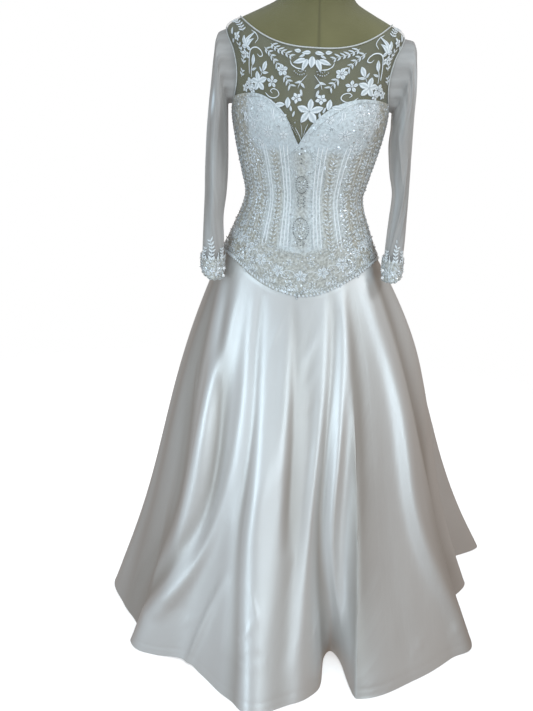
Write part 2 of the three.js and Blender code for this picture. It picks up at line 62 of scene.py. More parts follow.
NET_CLEAR = 1.3                 # from the form to the yoke
NET_THICK = 1.2
STRAP_LIFT = {"level": 1389, "width": 17, "rise": 2}
BODICE_CLEAR = 3.1
BODICE_THICK = 1.8
SATIN_CLEAR = 0.6
SATIN_THICK = 1.5
LAY_UNDER = 8                   # how far the yoke goes under the bodice
SKIRT_TUCK = 10                 # how far the skirt goes under the bodice
SEAM_GAP = 0.3
CORD_RADIUS = 1.2
BINDING_GAP = 1.1
BINDING_EASE = 0.5
NECKLINE = 1407                 # a level, as are the next few
ARMHOLE = {"level": 1314, "half_height": 76, "front": 26, "back": 22}
FRONT_DROP, BACK_DROP = 72, 16  # how far the bodice's foot dips in front and behind
BASQUE_SIDE = 940               # level of the bodice's foot at the sides
BACK_TOP = 1250
FRONT_CORNER = 73               # angle where the bodice's front meets the armhole
TRAIN_MIDDLE = 180              # how far behind the form the hem's middle lies
PLACKET_WIDTH = 18
CUFF_LAP = 3
HEM_TURN = 24                   # how far above the edge the hem is stitched

SECTIONS = table(
    ["level", "frontZ", "backZ", "half", "front", "back", "power"], [
        [800, 800, 800, 172, 108, 128, 2.1],
        [870, 870, 870, 174, 110, 131, 2.1],
        [930, 930, 930, 168, 106, 120, 2.1],
        [985, 985, 985, 145, 99, 100, 2.1],
        [1058, 1058, 1058, 121, 90, 80, 2.15],
        [1105, 1105, 1105, 130, 97, 84, 2.15],
        [1155, 1155, 1155, 143, 107, 90, 2.2],
        [1210, 1210, 1210, 155, 117, 94, 2.2],
        [1245, 1243, 1244, 159, 115, 96, 2.2],
        [1300, 1282, 1290, 164, 106, 96, 2.2],
        [1350, 1312, 1325, 171, 97, 93, 2.15],
        [1390, 1333, 1346, 177, 90, 88, 2.1],
        [1407, 1351, 1366, 154, 85, 83, 2.1],
        [1428, 1395, 1405, 112, 71, 74, 2.05],
        [1446, 1428, 1440, 80, 58, 63, 2],
        [1468, 1449, 1490, 67, 53, 56, 2],
    ])
CUP = {"angle": 28, "width": 20, "level": 1212, "height": 48, "rise": 9.5}
TURNS = table(["level", "turn"], [
    [860, -1], [940, -3], [1080, -6], [1180, -7], [1260, -5], [1407, -4], [1470, -4]])
TURN_REACH = {"from": 12, "to": 62}
SWEETHEART = table(["angle", "z"], [
    [0, 1173], [3.5, 1192], [8, 1217], [15, 1240], [23, 1257], [34, 1268], [46, 1268],
    [60, 1263], [73, 1257]])

HEM_FOLDS = table(["angle", "x", "y", "lift", "growth"], [
    [-180, 40, 690, 0, 1.0], [-168, -70, 735, 0, 0.9], [-155, -170, 640, 0, 0.9],
    [-142, -280, 650, 0, 0.9], [-130, -320, 510, 0, 0.9], [-117, -398, 420, 0, 1.0],
    [-104, -372, 260, 0, 1.0], [-90, -430, 125, 0, 1.0], [-77, -386, 14, 0, 1.0],
    [-65, -340, -76, 0, 1.4], [-56, -346, -126, 0, 1.8], [-47, -286, -168, 0, 1.8],
    [-38, -210, -188, 5, 1.8], [-29, -160, -236, 0, 1.4], [-19, -84, -326, 0, 1.0],
    [-11, -38, -346, 0, 1.0], [-2, 36, -310, 0, 1.0], [6, 98, -260, 0, 1.4],
    [12, 114, -190, 4, 2.0], [17.5, 134, -138, 12, 2.4], [22.5, 166, -180, 6, 2.0],
    [29, 184, -284, 0, 1.2], [44, 326, -206, 0, 1.0], [60, 424, -124, 0, 1.0],
    [74, 489, -50, 0, 1.0], [85, 450, 66, 0, 1.4], [97, 530, 205, 0, 1.0],
    [107, 478, 300, 0, 1.2], [119, 612, 410, 0, 0.9], [132, 505, 520, 0, 0.9],
    [145, 430, 655, 0, 0.9], [157, 270, 640, 0, 0.9], [168, 170, 735, 0, 0.9],
])
HEM_ROUND = table(["angle", "x", "y"], [
    [-180, 40, 690], [-135, -370, 500], [-90, -396, 60], [-45, -262, -222], [0, 20, -322],
    [45, 318, -218], [90, 480, 60], [135, 480, 460]])
FLUTES = table(["top", "hem", "width", "height", "peak"], [
    [-150, -150, 8, 14, 0.6], [-120, -121, 9, 16, 0.6], [-96, -96, 8, 6, 0.5],
    [-72, -76, 7, 8, 0.45], [-40, -49, 6, 20, 0.62], [-16, -20, 8, 9, 0.5],
    [-3, -5, 5, 6, 0.3], [29, 29, 5, 14, 0.55], [60, 63, 7, 14, 0.5], [84, 90, 11, 22, 0.28],
    [112, 114, 9, 14, 0.6], [140, 141, 9, 14, 0.6], [165, 165, 8, 12, 0.6],
])

SLEEVE_COLUMNS = ["outX", "outZ", "inX", "inZ", "y", "deep"]
SLEEVES = {
    "left": table(SLEEVE_COLUMNS, [
        [197, 1376, 169, 1240, -3, 47], [203, 1338, 170, 1234, -3, 53],
        [207, 1288, 169, 1224, -4, 56], [211, 1235, 168, 1206, -6, 56],
        [214, 1180, 166, 1172, -9, 55], [215, 1111, 163, 1111, -15, 52],
        [213, 1060, 163, 1060, -28, 47], [212, 1012, 166, 1012, -44, 42],
        [211, 966, 162, 966, -60, 36], [210, 930, 161, 930, -72, 32]]),
    "right": table(SLEEVE_COLUMNS, [
        [201, 1381, 169, 1240, -3, 47], [210, 1346, 170, 1234, -3, 53],
        [216, 1292, 170, 1226, -4, 56], [217, 1240, 171, 1208, -6, 56],
        [219, 1180, 170, 1174, -9, 55], [220, 1123, 177, 1119, -15, 50],
        [220, 1079, 184, 1079, -28, 44], [219, 1030, 180, 1030, -44, 42],
        [218, 983, 175, 983, -60, 36], [215, 945, 173, 945, -72, 32]]),
}
CUFFS = {
    "left": table(SLEEVE_COLUMNS, [
        [210.3, 930, 160.8, 930, -71.3, 32.8], [208, 910, 161, 910, -79, 30],
        [203, 889, 163, 889, -86, 27]]),
    "right": table(SLEEVE_COLUMNS, [
        [215.3, 945, 172.8, 945, -71.3, 32.8], [214, 925, 173, 925, -79, 30],
        [211, 904, 175, 904, -86, 27]]),
}


# ------------------------------------------------------------------ numbers and curves
def mix(a, b, share):
    return a + (b - a) * share


def bell(distance, width):
    return np.exp(-((distance / width) ** 2))


def smooth(value):
    """0 to 1 with soft ends."""
    value = np.clip(value, 0, 1)
    return value * value * (3 - 2 * value)


def wrapped(angle):
    """An angle from -180 to 180."""
    return (angle + 180) % 360 - 180


def side_angle(angle):
    """How far an angle lies from the centre front."""
    return np.abs(wrapped(np.asarray(angle, float)))


def full_turn(count):
    """Angles round a circle, in radians."""
    return np.arange(count) / count * 2 * np.pi


def through(over, value, at):
    """A smooth curve through the values over a rising column, flat past its ends."""
    slope = np.empty(len(over))
    slope[1:-1] = (value[2:] - value[:-2]) / (over[2:] - over[:-2])
    slope[0] = (value[1] - value[0]) / (over[1] - over[0])
    slope[-1] = (value[-1] - value[-2]) / (over[-1] - over[-2])
    here = np.clip(at, over[0], over[-1])
    i = np.clip(np.searchsorted(over, here) - 1, 0, len(over) - 2)
    step = over[i + 1] - over[i]
    s = (here - over[i]) / step
    return (mix(value[i], value[i + 1], s * s * (3 - 2 * s))
            + step * (slope[i] * s * (1 - s) ** 2 - slope[i + 1] * s * s * (1 - s)))


def around(rows, column, angle):
    """A smooth curve round a table whose last angle joins its first."""
    over, value = rows["angle"], rows[column]
    over = np.concatenate([over[-2:] - 360, over, over[:3] + 360])
    value = np.concatenate([value[-2:], value, value[:3]])
    first = rows["angle"][0]
    return through(over, value, (np.asarray(angle, float) - first) % 360 + first)


# ------------------------------------------------------------------ surfaces
def form_point(angle, level):
    """A point on the form, in millimetres."""
    angle, level = np.broadcast_arrays(np.asarray(angle, float), np.asarray(level, float))

    def at(column):
        return through(SECTIONS["level"], SECTIONS[column], level)

    sine, cosine = np.sin(np.radians(angle)), np.cos(np.radians(angle))
    rounding = 2 / at("power")
    end = np.where(cosine > 0, at("frontZ"), at("backZ"))
    deep = np.where(cosine > 0, at("front"), at("back"))
    swell = (CUP["rise"] * bell(side_angle(angle) - CUP["angle"], CUP["width"])
             * bell(level - CUP["level"], CUP["height"]))
    return np.stack([
        np.sign(sine) * np.abs(sine) ** rounding * at("half") + swell * sine,
        -np.sign(cosine) * np.abs(cosine) ** rounding * deep - swell * cosine,
        mix(end, level, np.abs(sine) ** 2.5)], -1)


def unit(vector):
    return vector / np.maximum(np.linalg.norm(vector, axis=-1, keepdims=True), 1e-9)


def surface_normal(point, a, b, step_a, step_b):
    along_a = point(a + step_a, b) - point(a - step_a, b)
    along_b = point(a, b + step_b) - point(a, b - step_b)
    return unit(np.cross(along_a, along_b))


def off_form(angle, level, distance):
    """A point at a distance off the form."""
    angle, level, distance = np.broadcast_arrays(
        np.asarray(angle, float), np.asarray(level, float), np.asarray(distance, float))
    normal = surface_normal(form_point, angle, level, 0.5, 0.5)
    return form_point(angle, level) + normal * distance[..., None]


def strap_lift(level):
    """How much further off the form the net lies at the straps."""
    return STRAP_LIFT["rise"] * bell(level - STRAP_LIFT["level"], STRAP_LIFT["width"])


def turn_at(angle, level):
    """How far the dress is twisted on the form, in front."""
    near = smooth((TURN_REACH["to"] - side_angle(angle)) / (TURN_REACH["to"] - TURN_REACH["from"]))
    return through(TURNS["level"], TURNS["turn"], level) * near


def turned(angle, level):
    """An angle on the dress as an angle on the form."""
    return angle + turn_at(angle, level)


def mm_per_degree(angle, level):
    """Length of one degree of angle on the form."""
    return np.linalg.norm(form_point(angle + 0.5, level) - form_point(angle - 0.5, level), axis=-1)


def mm_per_level(angle, level):
    """Length over the form of one millimetre of level."""
    return np.linalg.norm(form_point(angle, level + 0.5) - form_point(angle, level - 0.5), axis=-1)


def armhole_at(turn, inset):
    """Angle and level on the armhole, from its top (0) over the front (90) to the underarm."""
    sine, cosine = np.sin(np.radians(turn)), np.cos(np.radians(turn))
    reach = np.where(sine > 0, ARMHOLE["front"], ARMHOLE["back"])
    angle = 90 - sine * reach
    level = ARMHOLE["level"] + cosine * ARMHOLE["half_height"]
    return (angle + sine * inset / mm_per_degree(angle, level),
            level - cosine * inset / mm_per_level(angle, level))


BACK_CORNER = 90 + ARMHOLE["back"] * math.sqrt(
    1 - ((ARMHOLE["level"] - BACK_TOP) / ARMHOLE["half_height"]) ** 2)


def bodice_top(angle):
    """Level of the bodice's upper edge: the heart, the underarms and the back."""
    side = side_angle(angle)
    reach = np.where(side < 90, ARMHOLE["front"], ARMHOLE["back"])
    open_share = 1 - np.clip(((90 - side) / reach) ** 2, 0, 1)
    underarm = ARMHOLE["level"] - ARMHOLE["half_height"] * np.sqrt(open_share) - BINDING_EASE
    front = through(SWEETHEART["angle"], SWEETHEART["z"], side)
    return np.where(side < FRONT_CORNER, front, np.where(side < BACK_CORNER, underarm, BACK_TOP))


def bodice_foot(angle):
    """Level of the bodice's lower edge, which dips in front and behind."""
    side = side_angle(angle)
    drop = np.where(side < 90, FRONT_DROP, BACK_DROP)
    return BASQUE_SIDE - drop * np.abs(np.cos(np.radians(side))) ** 3.2


def fullness(share):
    """How far out to the hem the skirt has come, at a share of the way down."""
    share = np.maximum(share, 0)
    return share ** 0.93 + 0.05 * np.sin(2 * np.pi * share) * (1 - 0.4 * share)


def flute_height(angle, share):
    """Height of the folds that start at the waist or part of the way down."""
    total = np.zeros(np.broadcast(angle, share).shape)
    for top, hem, width, height, peak in zip(*FLUTES.values()):
        off = wrapped(angle - mix(top, hem, share))
        rise = np.sin(np.minimum(share / peak, 1) * np.pi / 2)
        fall = np.where(share > peak, np.cos((share - peak) / (1 - peak) * np.pi / 2), 1)
        total += height * bell(off, width) * rise * fall
    return total


def skirt_point(angle, share):
    """The inner face of the skirt, from the basque (0) to the hem (1)."""
    angle, share = np.broadcast_arrays(np.asarray(angle, float), np.asarray(share, float))
    foot = bodice_foot(angle) - 1
    under = foot - np.minimum(share, 0) * SKIRT_TUCK
    tucked = off_form(turned(angle, under), under, SATIN_CLEAR)
    down = np.maximum(share, 0)
    growth = down ** around(HEM_FOLDS, "growth", angle)
    hem_x = mix(around(HEM_ROUND, "x", angle), around(HEM_FOLDS, "x", angle), growth)
    hem_y = mix(around(HEM_ROUND, "y", angle), around(HEM_FOLDS, "y", angle), growth)
    lift = np.maximum(0, around(HEM_FOLDS, "lift", angle))
    outward = unit(np.stack([hem_x, hem_y - TRAIN_MIDDLE * down, np.zeros_like(down)], -1))
    full = fullness(down)
    point = np.stack([
        mix(tucked[..., 0], hem_x, full), mix(tucked[..., 1], hem_y, full),
        mix(tucked[..., 2], lift, down)], -1)
    point += outward * flute_height(angle, down)[..., None]
    return np.where((share > 0)[..., None], point, tucked)


# ------------------------------------------------------------------ making meshes
def make_mesh(name, points, faces, material, maps=None, values=None):
    """A smooth mesh from points in millimetres and lists of triangles and quads.

    The maps give a place on the cloth for each corner of each face.
    """
    faces = [np.asarray(f, np.int32) for f in faces if len(f)]
    corners = np.concatenate([f.ravel() for f in faces])
    sizes = np.concatenate([np.full(len(f), f.shape[1]) for f in faces])
    mesh = bpy.data.meshes.new(name)
    mesh.vertices.add(len(points))
    mesh.vertices.foreach_set("co", (np.asarray(points, float) * MM).astype(np.float32).ravel())
    mesh.loops.add(len(corners))
    mesh.loops.foreach_set("vertex_index", corners.astype(np.int32))
    mesh.polygons.add(len(sizes))
    mesh.polygons.foreach_set("loop_start", (np.cumsum(sizes) - sizes).astype(np.int32))
    mesh.polygons.foreach_set("use_smooth", np.ones(len(sizes), bool))
    if maps is not None:
        layer = mesh.uv_layers.new(name="cloth")
        layer.uv.foreach_set("vector", np.asarray(maps, np.float32).ravel())
    for key, value in (values or {}).items():
        attribute = mesh.attributes.new(key, "FLOAT", "POINT")
        attribute.data.foreach_set("value", np.asarray(value, np.float32).ravel())
    mesh.update(calc_edges=True)
    mesh.validate()
    mesh.materials.append(material)
    piece = bpy.data.objects.new(name, mesh)
    add_to_scene(piece)
    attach(piece, "root")
    return piece


def grid_faces(rows, columns, closed=False, flip=False):
    """Quads between the points of a grid."""
    r, c = np.meshgrid(np.arange(rows - 1), np.arange(columns - (not closed)), indexing="ij")
    near, far = r * columns + c, r * columns + (c + 1) % columns
    quads = np.stack([near, far, far + columns, near + columns], -1).reshape(-1, 4)
    return quads[:, ::-1] if flip else quads


def lengths_along(grid, axis):
    """Distance along each row or column of a grid of points, in metres."""
    steps = np.linalg.norm(np.diff(grid, axis=axis), axis=-1) * MM
    zero = np.zeros_like(np.take(steps, [0], axis))
    return np.cumsum(np.concatenate([zero, steps], axis), axis)


def capped(grid, ends, flip=False):
    """Points and faces of a closed tube of rings, with a point over each end."""
    rows, columns = grid.shape[:2]
    ring, last = np.arange(columns), (rows - 1) * columns
    step, count = (ring + 1) % columns, rows * columns
    foot = np.stack([step, ring, np.full(columns, count)], -1)
    top = np.stack([last + ring, last + step, np.full(columns, count + 1)], -1)
    if flip:
        foot, top = foot[:, [1, 0, 2]], top[:, [1, 0, 2]]
    points = np.concatenate([grid.reshape(-1, 3), ends])
    return points, [grid_faces(rows, columns, True, flip), foot, top]


def cloth(name, grid, material, node, thickness=0.0, closed=False, flip=False, values=None):
    """A thin shell through a grid of points that stands for a node, mapped in metres of cloth."""
    rows, columns = grid.shape[:2]
    whole = np.concatenate([grid, grid[:, :1]], 1) if closed else grid
    maps = np.stack([lengths_along(whole, 1), lengths_along(whole, 0)], -1).reshape(-1, 2)
    maps = maps[grid_faces(rows, columns + closed, False, flip)]
    faces = grid_faces(rows, columns, closed, flip)
    piece = make_mesh(name, grid.reshape(-1, 3), [faces], material, maps, values)
    if thickness:
        shell = piece.modifiers.new("thickness", "SOLIDIFY")
        shell.thickness = thickness * MM
        shell.offset = 0
        crisp = piece.modifiers.new("crisp_rim", "EDGE_SPLIT")
        crisp.split_angle = math.radians(60)
    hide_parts(node)
    return piece


# ------------------------------------------------------------------ materials
class Nodes:
    """A tree of shader nodes, and short ways to add the nodes that are used here."""

    def __init__(self, owner):
        owner.use_nodes = True
        self.tree = owner.node_tree

    def node(self, kind, inputs=None, **settings):
        made = self.tree.nodes.new("ShaderNode" + kind)
        for key, value in settings.items():
            setattr(made, key, value)
        for key, value in (inputs or {}).items():
            self.feed(made.inputs[key], value)
        return made

    def feed(self, socket, value):
        if isinstance(value, bpy.types.NodeSocket):
            self.tree.links.new(value, socket)
        else:
            socket.default_value = value

    def place(self):
        return self.node("TexCoord").outputs["Object"]

    def map(self):
        return self.node("UVMap", uv_map="cloth").outputs["UV"]

    def painted(self, name):
        """A value that the mesh holds at each of its points."""
        return self.node("Attribute", attribute_name=name).outputs["Fac"]

    def stretched(self, vector, scale):
        return self.node("Mapping", {"Vector": vector, "Scale": scale}).outputs["Vector"]

    def noise(self, vector, scale, detail=3.0, roughness=0.5):
        return self.node("TexNoise", {
            "Vector": vector, "Scale": scale, "Detail": detail, "Roughness": roughness,
        }).outputs["Fac"]

    def cells(self, vector, scale, feature="DISTANCE_TO_EDGE"):
        return self.node("TexVoronoi", {"Vector": vector, "Scale": scale},
                         feature=feature).outputs["Distance"]

    def wave(self, vector, scale, direction, distortion=0.0):
        return self.node("TexWave", {
            "Vector": vector, "Scale": scale, "Distortion": distortion, "Detail": 1.0,
            "Detail Scale": 1.5,
        }, bands_direction=direction).outputs["Fac"]

    def math(self, operation, a, b):
        made = self.node("Math", operation=operation)
        self.feed(made.inputs[0], a)
        self.feed(made.inputs[1], b)
        return made.outputs[0]

    def ramp(self, value, stops):
        made = self.node("ValToRGB", {"Fac": value})
        while len(made.color_ramp.elements) < len(stops):
            made.color_ramp.elements.new(0.5)
        for element, (at, colour) in zip(made.color_ramp.elements, stops):
            element.position = at
            element.color = (*colour, 1)
        return made.outputs["Color"]

    def grey(self, value, low, high):
        """A value spread from low to high."""
        return self.node("MapRange", {
            "Value": value, "To Min": low, "To Max": high}).outputs["Result"]

    def blend(self, share, a, b, kind="MIX"):
        made = self.node("Mix", data_type="RGBA", blend_type=kind)
        self.feed(made.inputs["Factor"], share)
        self.feed(made.inputs[6], a)
        self.feed(made.inputs[7], b)
        return made.outputs[2]

    def bump(self, height, distance, strength=1.0, under=None):
        made = self.node("Bump", {"Height": height, "Distance": distance, "Strength": strength})
        if under is not None:
            self.feed(made.inputs["Normal"], under)
        return made.outputs["Normal"]


class Finish(Nodes):
    """One material: a Principled shader and the nodes that feed it."""

    def __init__(self, name, **constants):
        self.material = bpy.data.materials.new(name)
        super().__init__(self.material)
        self.shader = self.tree.nodes["Principled BSDF"]
        for key, value in constants.items():
            self.shader.inputs[key.replace("_", " ")].default_value = value

    def done(self, colour, roughness, normal, alpha=1.0):
        wanted = {"Base Color": colour, "Roughness": roughness, "Normal": normal, "Alpha": alpha}
        for key, value in wanted.items():
            self.feed(self.shader.inputs[key], value)
        return self.material


def make_linen():
    """A plain weave with thick threads, darker along the form's seams."""
    f = Finish("linen", Sheen_Weight=0.25, Sheen_Roughness=0.5)
    uv = f.map()
    weft = f.wave(uv, 420.0, "X", 1.2)
    warp = f.wave(uv, 420.0, "Y", 1.2)
    weave = f.math("MAXIMUM", weft, warp)
    slub = f.noise(f.stretched(uv, (60.0, 900.0, 1.0)), 1.0, 4.0)
    patches = f.noise(f.place(), 9.0, 4.0)
    colour = f.ramp(patches, [(0.3, (0.142, 0.127, 0.046)), (0.7, (0.192, 0.174, 0.070))])
    colour = f.blend(f.grey(slub, 0.0, 0.28), colour, (0.27, 0.25, 0.14, 1))
    colour = f.blend(f.grey(weave, 0.22, 0.0), colour, (0.07, 0.06, 0.03, 1))
    seam = f.painted("seam")
    colour = f.blend(f.math("MULTIPLY", seam, 0.45), colour, (0.06, 0.052, 0.024, 1))
    rough = f.grey(slub, 0.82, 0.98)
    normal = f.bump(f.math("ADD", weave, f.math("MULTIPLY", slub, 1.5)), 0.0004, 0.6)
    return f.done(colour, rough, normal)


def make_plain(name, low, high, rough, metal=0.0):
    """Moulded or metal: mottled, with fine scratches."""
    f = Finish(name, Metallic=metal)
    spots = f.noise(f.place(), 60.0, 5.0)
    scratch = f.noise(f.stretched(f.place(), (30.0, 30.0, 700.0)), 1.0, 4.0)
    colour = f.ramp(spots, [(0.35, low), (0.65, high)])
    roughness = f.grey(scratch, rough - 0.08, rough + 0.1)
    return f.done(colour, roughness, f.bump(scratch, 0.0004, 0.3))


def make_net(name, thin, thick, low, high, cell):
    """Tulle: threads round small holes, thicker in places, and paler where a highlight is painted.
    """
    f = Finish(name, Roughness=0.85, Sheen_Weight=0.4, Sheen_Roughness=0.4)
    uv = f.map()
    threads = f.grey(f.cells(uv, 1000.0 / cell), 1.0, 0.0)
    cloud = f.noise(f.stretched(uv, (28.0, 5.0, 1.0)), 1.0, 4.0)
    colour = f.ramp(cloud, [(0.3, low), (0.7, high)])
    # painted highlight: paler streaks where the mesh says so
    painted_highlight = f.painted("painted_highlight")
    colour = f.blend(painted_highlight, colour, (0.86, 0.93, 0.97, 1))
    holes = f.math("MULTIPLY", threads, threads)
    alpha = f.math("ADD", f.grey(cloud, thin, thick), f.math("MULTIPLY", holes, 0.10))
    rough = f.grey(cloud, 0.7, 0.9)
    return f.done(colour, rough, f.bump(threads, 0.0002, 0.4), alpha)


def make_satin():
    """Long floating threads that mirror the room, and painted shade in the troughs, at the sides and
    in two patches in front.
    """
    f = Finish("satin", Metallic=0.55, Sheen_Weight=0.1, Sheen_Roughness=0.4,
               Specular_IOR_Level=0.5)
    uv = f.map()
    cloud = f.noise(f.place(), 3.2, 3.0)
    floats = f.noise(f.stretched(uv, (2600.0, 120.0, 1.0)), 1.0, 2.0)
    ripple = f.noise(f.stretched(uv, (26.0, 7.0, 1.0)), 1.0, 3.0)
    colour = f.ramp(cloud, [(0.3, (0.72, 0.705, 0.69)), (0.7, (0.79, 0.78, 0.765))])
    colour = f.blend(f.grey(floats, 0.0, 0.10), colour, (0.55, 0.52, 0.49, 1))
    # painted shade: darker and warmer in the creases' troughs, at the sides and in two patches in
    # front
    painted_shade = f.painted("painted_shade")
    colour = f.blend(f.math("MULTIPLY", painted_shade, 0.75), colour, (0.41, 0.37, 0.33, 1))
    rough = f.math("ADD", f.grey(floats, 0.43, 0.51), f.grey(cloud, -0.03, 0.03))
    normal = f.bump(floats, 0.00004, 0.5)
    normal = f.bump(ripple, 0.0018, 0.5, normal)
    return f.done(colour, rough, normal)


def make_lace():
    """The bodice: white satin, and grey-beige net with painted shade toward the sides, under fine
    stitching and seed beads.
    """
    f = Finish("lace", Metallic=0.1, Sheen_Weight=0.2, Sheen_Roughness=0.4)
    uv = f.map()
    rings = f.cells(uv, 330.0)
    grains = f.cells(uv, 620.0, "F1")
    motif = f.noise(uv, 170.0, 3.0, 0.6)
    patch = f.noise(uv, 24.0, 3.0)
    white = f.ramp(motif, [(0.38, (0.60, 0.65, 0.68)), (0.60, (0.77, 0.84, 0.88))])
    net = f.ramp(motif, [
        (0.36, (0.26, 0.225, 0.165)), (0.48, (0.45, 0.41, 0.335)), (0.60, (0.66, 0.63, 0.56))])
    # grey-beige net ground, and painted shade toward the sides
    net_and_side_shade = f.painted("net_and_side_shade")
    colour = f.blend(net_and_side_shade, white, net)
    speckle = f.math("MULTIPLY", f.grey(grains, 0.0, 0.32), f.grey(net_and_side_shade, 0.25, 1.0))
    colour = f.blend(speckle, colour, (0.33, 0.31, 0.25, 1))
    colour = f.blend(f.grey(patch, 0.0, 0.18), colour, (0.76, 0.79, 0.80, 1))
    height = f.math("SUBTRACT", f.math("MULTIPLY", motif, 2.0), grains)
    height = f.math("ADD", height, f.math("MINIMUM", f.math("MULTIPLY", rings, 4.0), 0.6))
    rough = f.grey(grains, 0.30, 0.75)
    return f.done(colour, rough, f.bump(height, 0.0007, 0.7))


def make_thread(name, low, high, rough, toned=False):
    """Satin stitch: fine threads. A toned one gets painted shade where the mesh says so, dark at the
    edges of its petals and cords.
    """
    f = Finish(name, Sheen_Weight=0.3, Sheen_Roughness=0.35)
    spot = f.noise(f.place(), 260.0, 3.0)
    floss = f.noise(f.stretched(f.place(), (900.0, 900.0, 2600.0)), 1.0, 2.0)
    colour = f.ramp(spot, [(0.3, low), (0.7, high)])
    if toned:
        # painted shade: dark at the edges of petals and cords
        tone_and_shade = f.painted("tone_and_shade")
        shade = f.ramp(tone_and_shade, [
            (0.0, (0.16, 0.17, 0.16)), (0.35, (0.62, 0.65, 0.67)), (0.9, (1, 1, 1))])
        colour = f.blend(1.0, colour, shade, "MULTIPLY")
    return f.done(colour, f.grey(floss, rough - 0.08, rough + 0.12), f.bump(floss, 0.0002, 0.5))


def make_beads():
    """Glass beads in icy and warm tones, dark where their tone is low."""
    f = Finish("beads", Metallic=0.25, Coat_Weight=0.6, Coat_Roughness=0.06, Specular_IOR_Level=0.8)
    tint = f.noise(f.place(), 210.0, 2.0)
    colour = f.ramp(tint, [
        (0.30, (0.62, 0.62, 0.57)), (0.45, (0.80, 0.83, 0.84)), (0.60, (0.95, 0.98, 1.0)),
        (0.75, (0.78, 0.75, 0.66))])
    tone_and_shade = f.painted("tone_and_shade")
    colour = f.blend(tone_and_shade, (0.16, 0.17, 0.17, 1), colour)
    spark = f.noise(f.place(), 600.0, 2.0)
    return f.done(colour, f.grey(tint, 0.12, 0.34), f.bump(spark, 0.0003, 0.5))


def make_sequins():
    """Clear and silver discs."""
    f = Finish("sequins", Metallic=0.35, Coat_Weight=0.3, Coat_Roughness=0.1)
    tint = f.noise(f.place(), 150.0, 2.0)
    colour = f.ramp(tint, [
        (0.32, (0.46, 0.45, 0.41)), (0.48, (0.70, 0.73, 0.76)), (0.64, (0.90, 0.94, 1.0))])
    return f.done(colour, f.grey(tint, 0.2, 0.42), f.bump(f.noise(f.place(), 900.0), 0.0002, 0.4))


def make_pearl():
    """The buttons' glossy skin."""
    f = Finish("pearl", Coat_Weight=0.6, Coat_Roughness=0.1, Specular_IOR_Level=0.7)
    skin = f.noise(f.place(), 320.0, 4.0)
    colour = f.ramp(skin, [(0.35, (0.80, 0.80, 0.80)), (0.65, (0.93, 0.92, 0.90))])
    return f.done(colour, f.grey(skin, 0.16, 0.3), f.bump(skin, 0.0001, 0.4))


def make_floor():
    """Pale and nearly white under the dress, thinning into the white backdrop."""
    f = Finish("floor", Emission_Color=(1, 1, 1, 1), Emission_Strength=0.6)
    cloud = f.noise(f.place(), 1.3, 3.0)
    colour = f.ramp(cloud, [(0.3, (0.93, 0.93, 0.93)), (0.7, (0.95, 0.95, 0.95))])
    far = f.node("VectorMath", {0: f.place()}, operation="LENGTH").outputs["Value"]
    fade = f.node("MapRange", {"Value": far, "From Min": 0.9, "From Max": 2.4,
                               "To Min": 1.0, "To Max": 0.0}, interpolation_type="SMOOTHSTEP")
    normal = f.bump(f.noise(f.place(), 160.0), 0.0002, 0.1)
    return f.done(colour, f.grey(cloud, 0.7, 0.8), normal, fade.outputs["Result"])


LINEN = make_linen()
CAP = make_plain("cap", (0.03, 0.027, 0.022), (0.055, 0.05, 0.042), 0.45)
STEEL = make_plain("steel", (0.42, 0.42, 0.42), (0.52, 0.52, 0.52), 0.3, metal=0.9)
# the yoke's tulle is white; its dark grey here is painted shade
NET = make_net("net", 0.07, 0.17, (0.26, 0.27, 0.27), (0.40, 0.41, 0.42), 1.3)
TULLE = make_net("tulle", 0.62, 0.82, (0.325, 0.303, 0.283), (0.52, 0.495, 0.475), 1.5)
SATIN = make_satin()
LACE = make_lace()
FLOSS = make_thread("floss", (0.78, 0.80, 0.80), (0.94, 0.95, 0.96), 0.5, True)
BINDING = make_thread("binding", (0.52, 0.52, 0.50), (0.66, 0.66, 0.64), 0.5)
BEADS = make_beads()
PEARL = make_pearl()
SEQUINS = make_sequins()


# ------------------------------------------------------------------ dress form
# How far the form's seams lie from its middle lines, and how wide (in degrees) and deep they are.
FORM_SEAM = {"turn": 2, "width": 1.1, "depth": 0.7}
FORM_GIRTH = 0.86               # metres of linen round the form


def make_form():
    """The linen cover, with four seams."""
    angles = np.arange(0, 360, 2.0)
    levels = np.concatenate([np.arange(800, 1240, 8), np.arange(1240, 1469, 4)])
    level, angle = np.meshgrid(levels, angles, indexing="ij")
    point = form_point(angle, level)
    normal = surface_normal(form_point, angle, level, 0.5, 0.5)
    seam = np.zeros_like(angle)
    for middle in (0, 90, 180, 270):
        seam += bell(wrapped(angle - middle - FORM_SEAM["turn"]), FORM_SEAM["width"])
    grid = point - normal * (FORM_SEAM["depth"] * seam)[..., None]
    points, faces = capped(grid, grid[[0, -1]].mean(1))
    angle, level = np.meshgrid(np.append(angles, 360), levels)
    maps = np.stack([angle / 360 * FORM_GIRTH, level * MM], -1).reshape(-1, 2)
    maps = np.concatenate([maps[grid_faces(len(levels), len(angles) + 1)].reshape(-1, 2),
                           np.zeros((6 * len(angles), 2))])
    piece = make_mesh("linen_cover", points, faces, LINEN, maps,
                      {"seam": np.append(seam.ravel(), [0, 0])})
    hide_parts("form_torso")


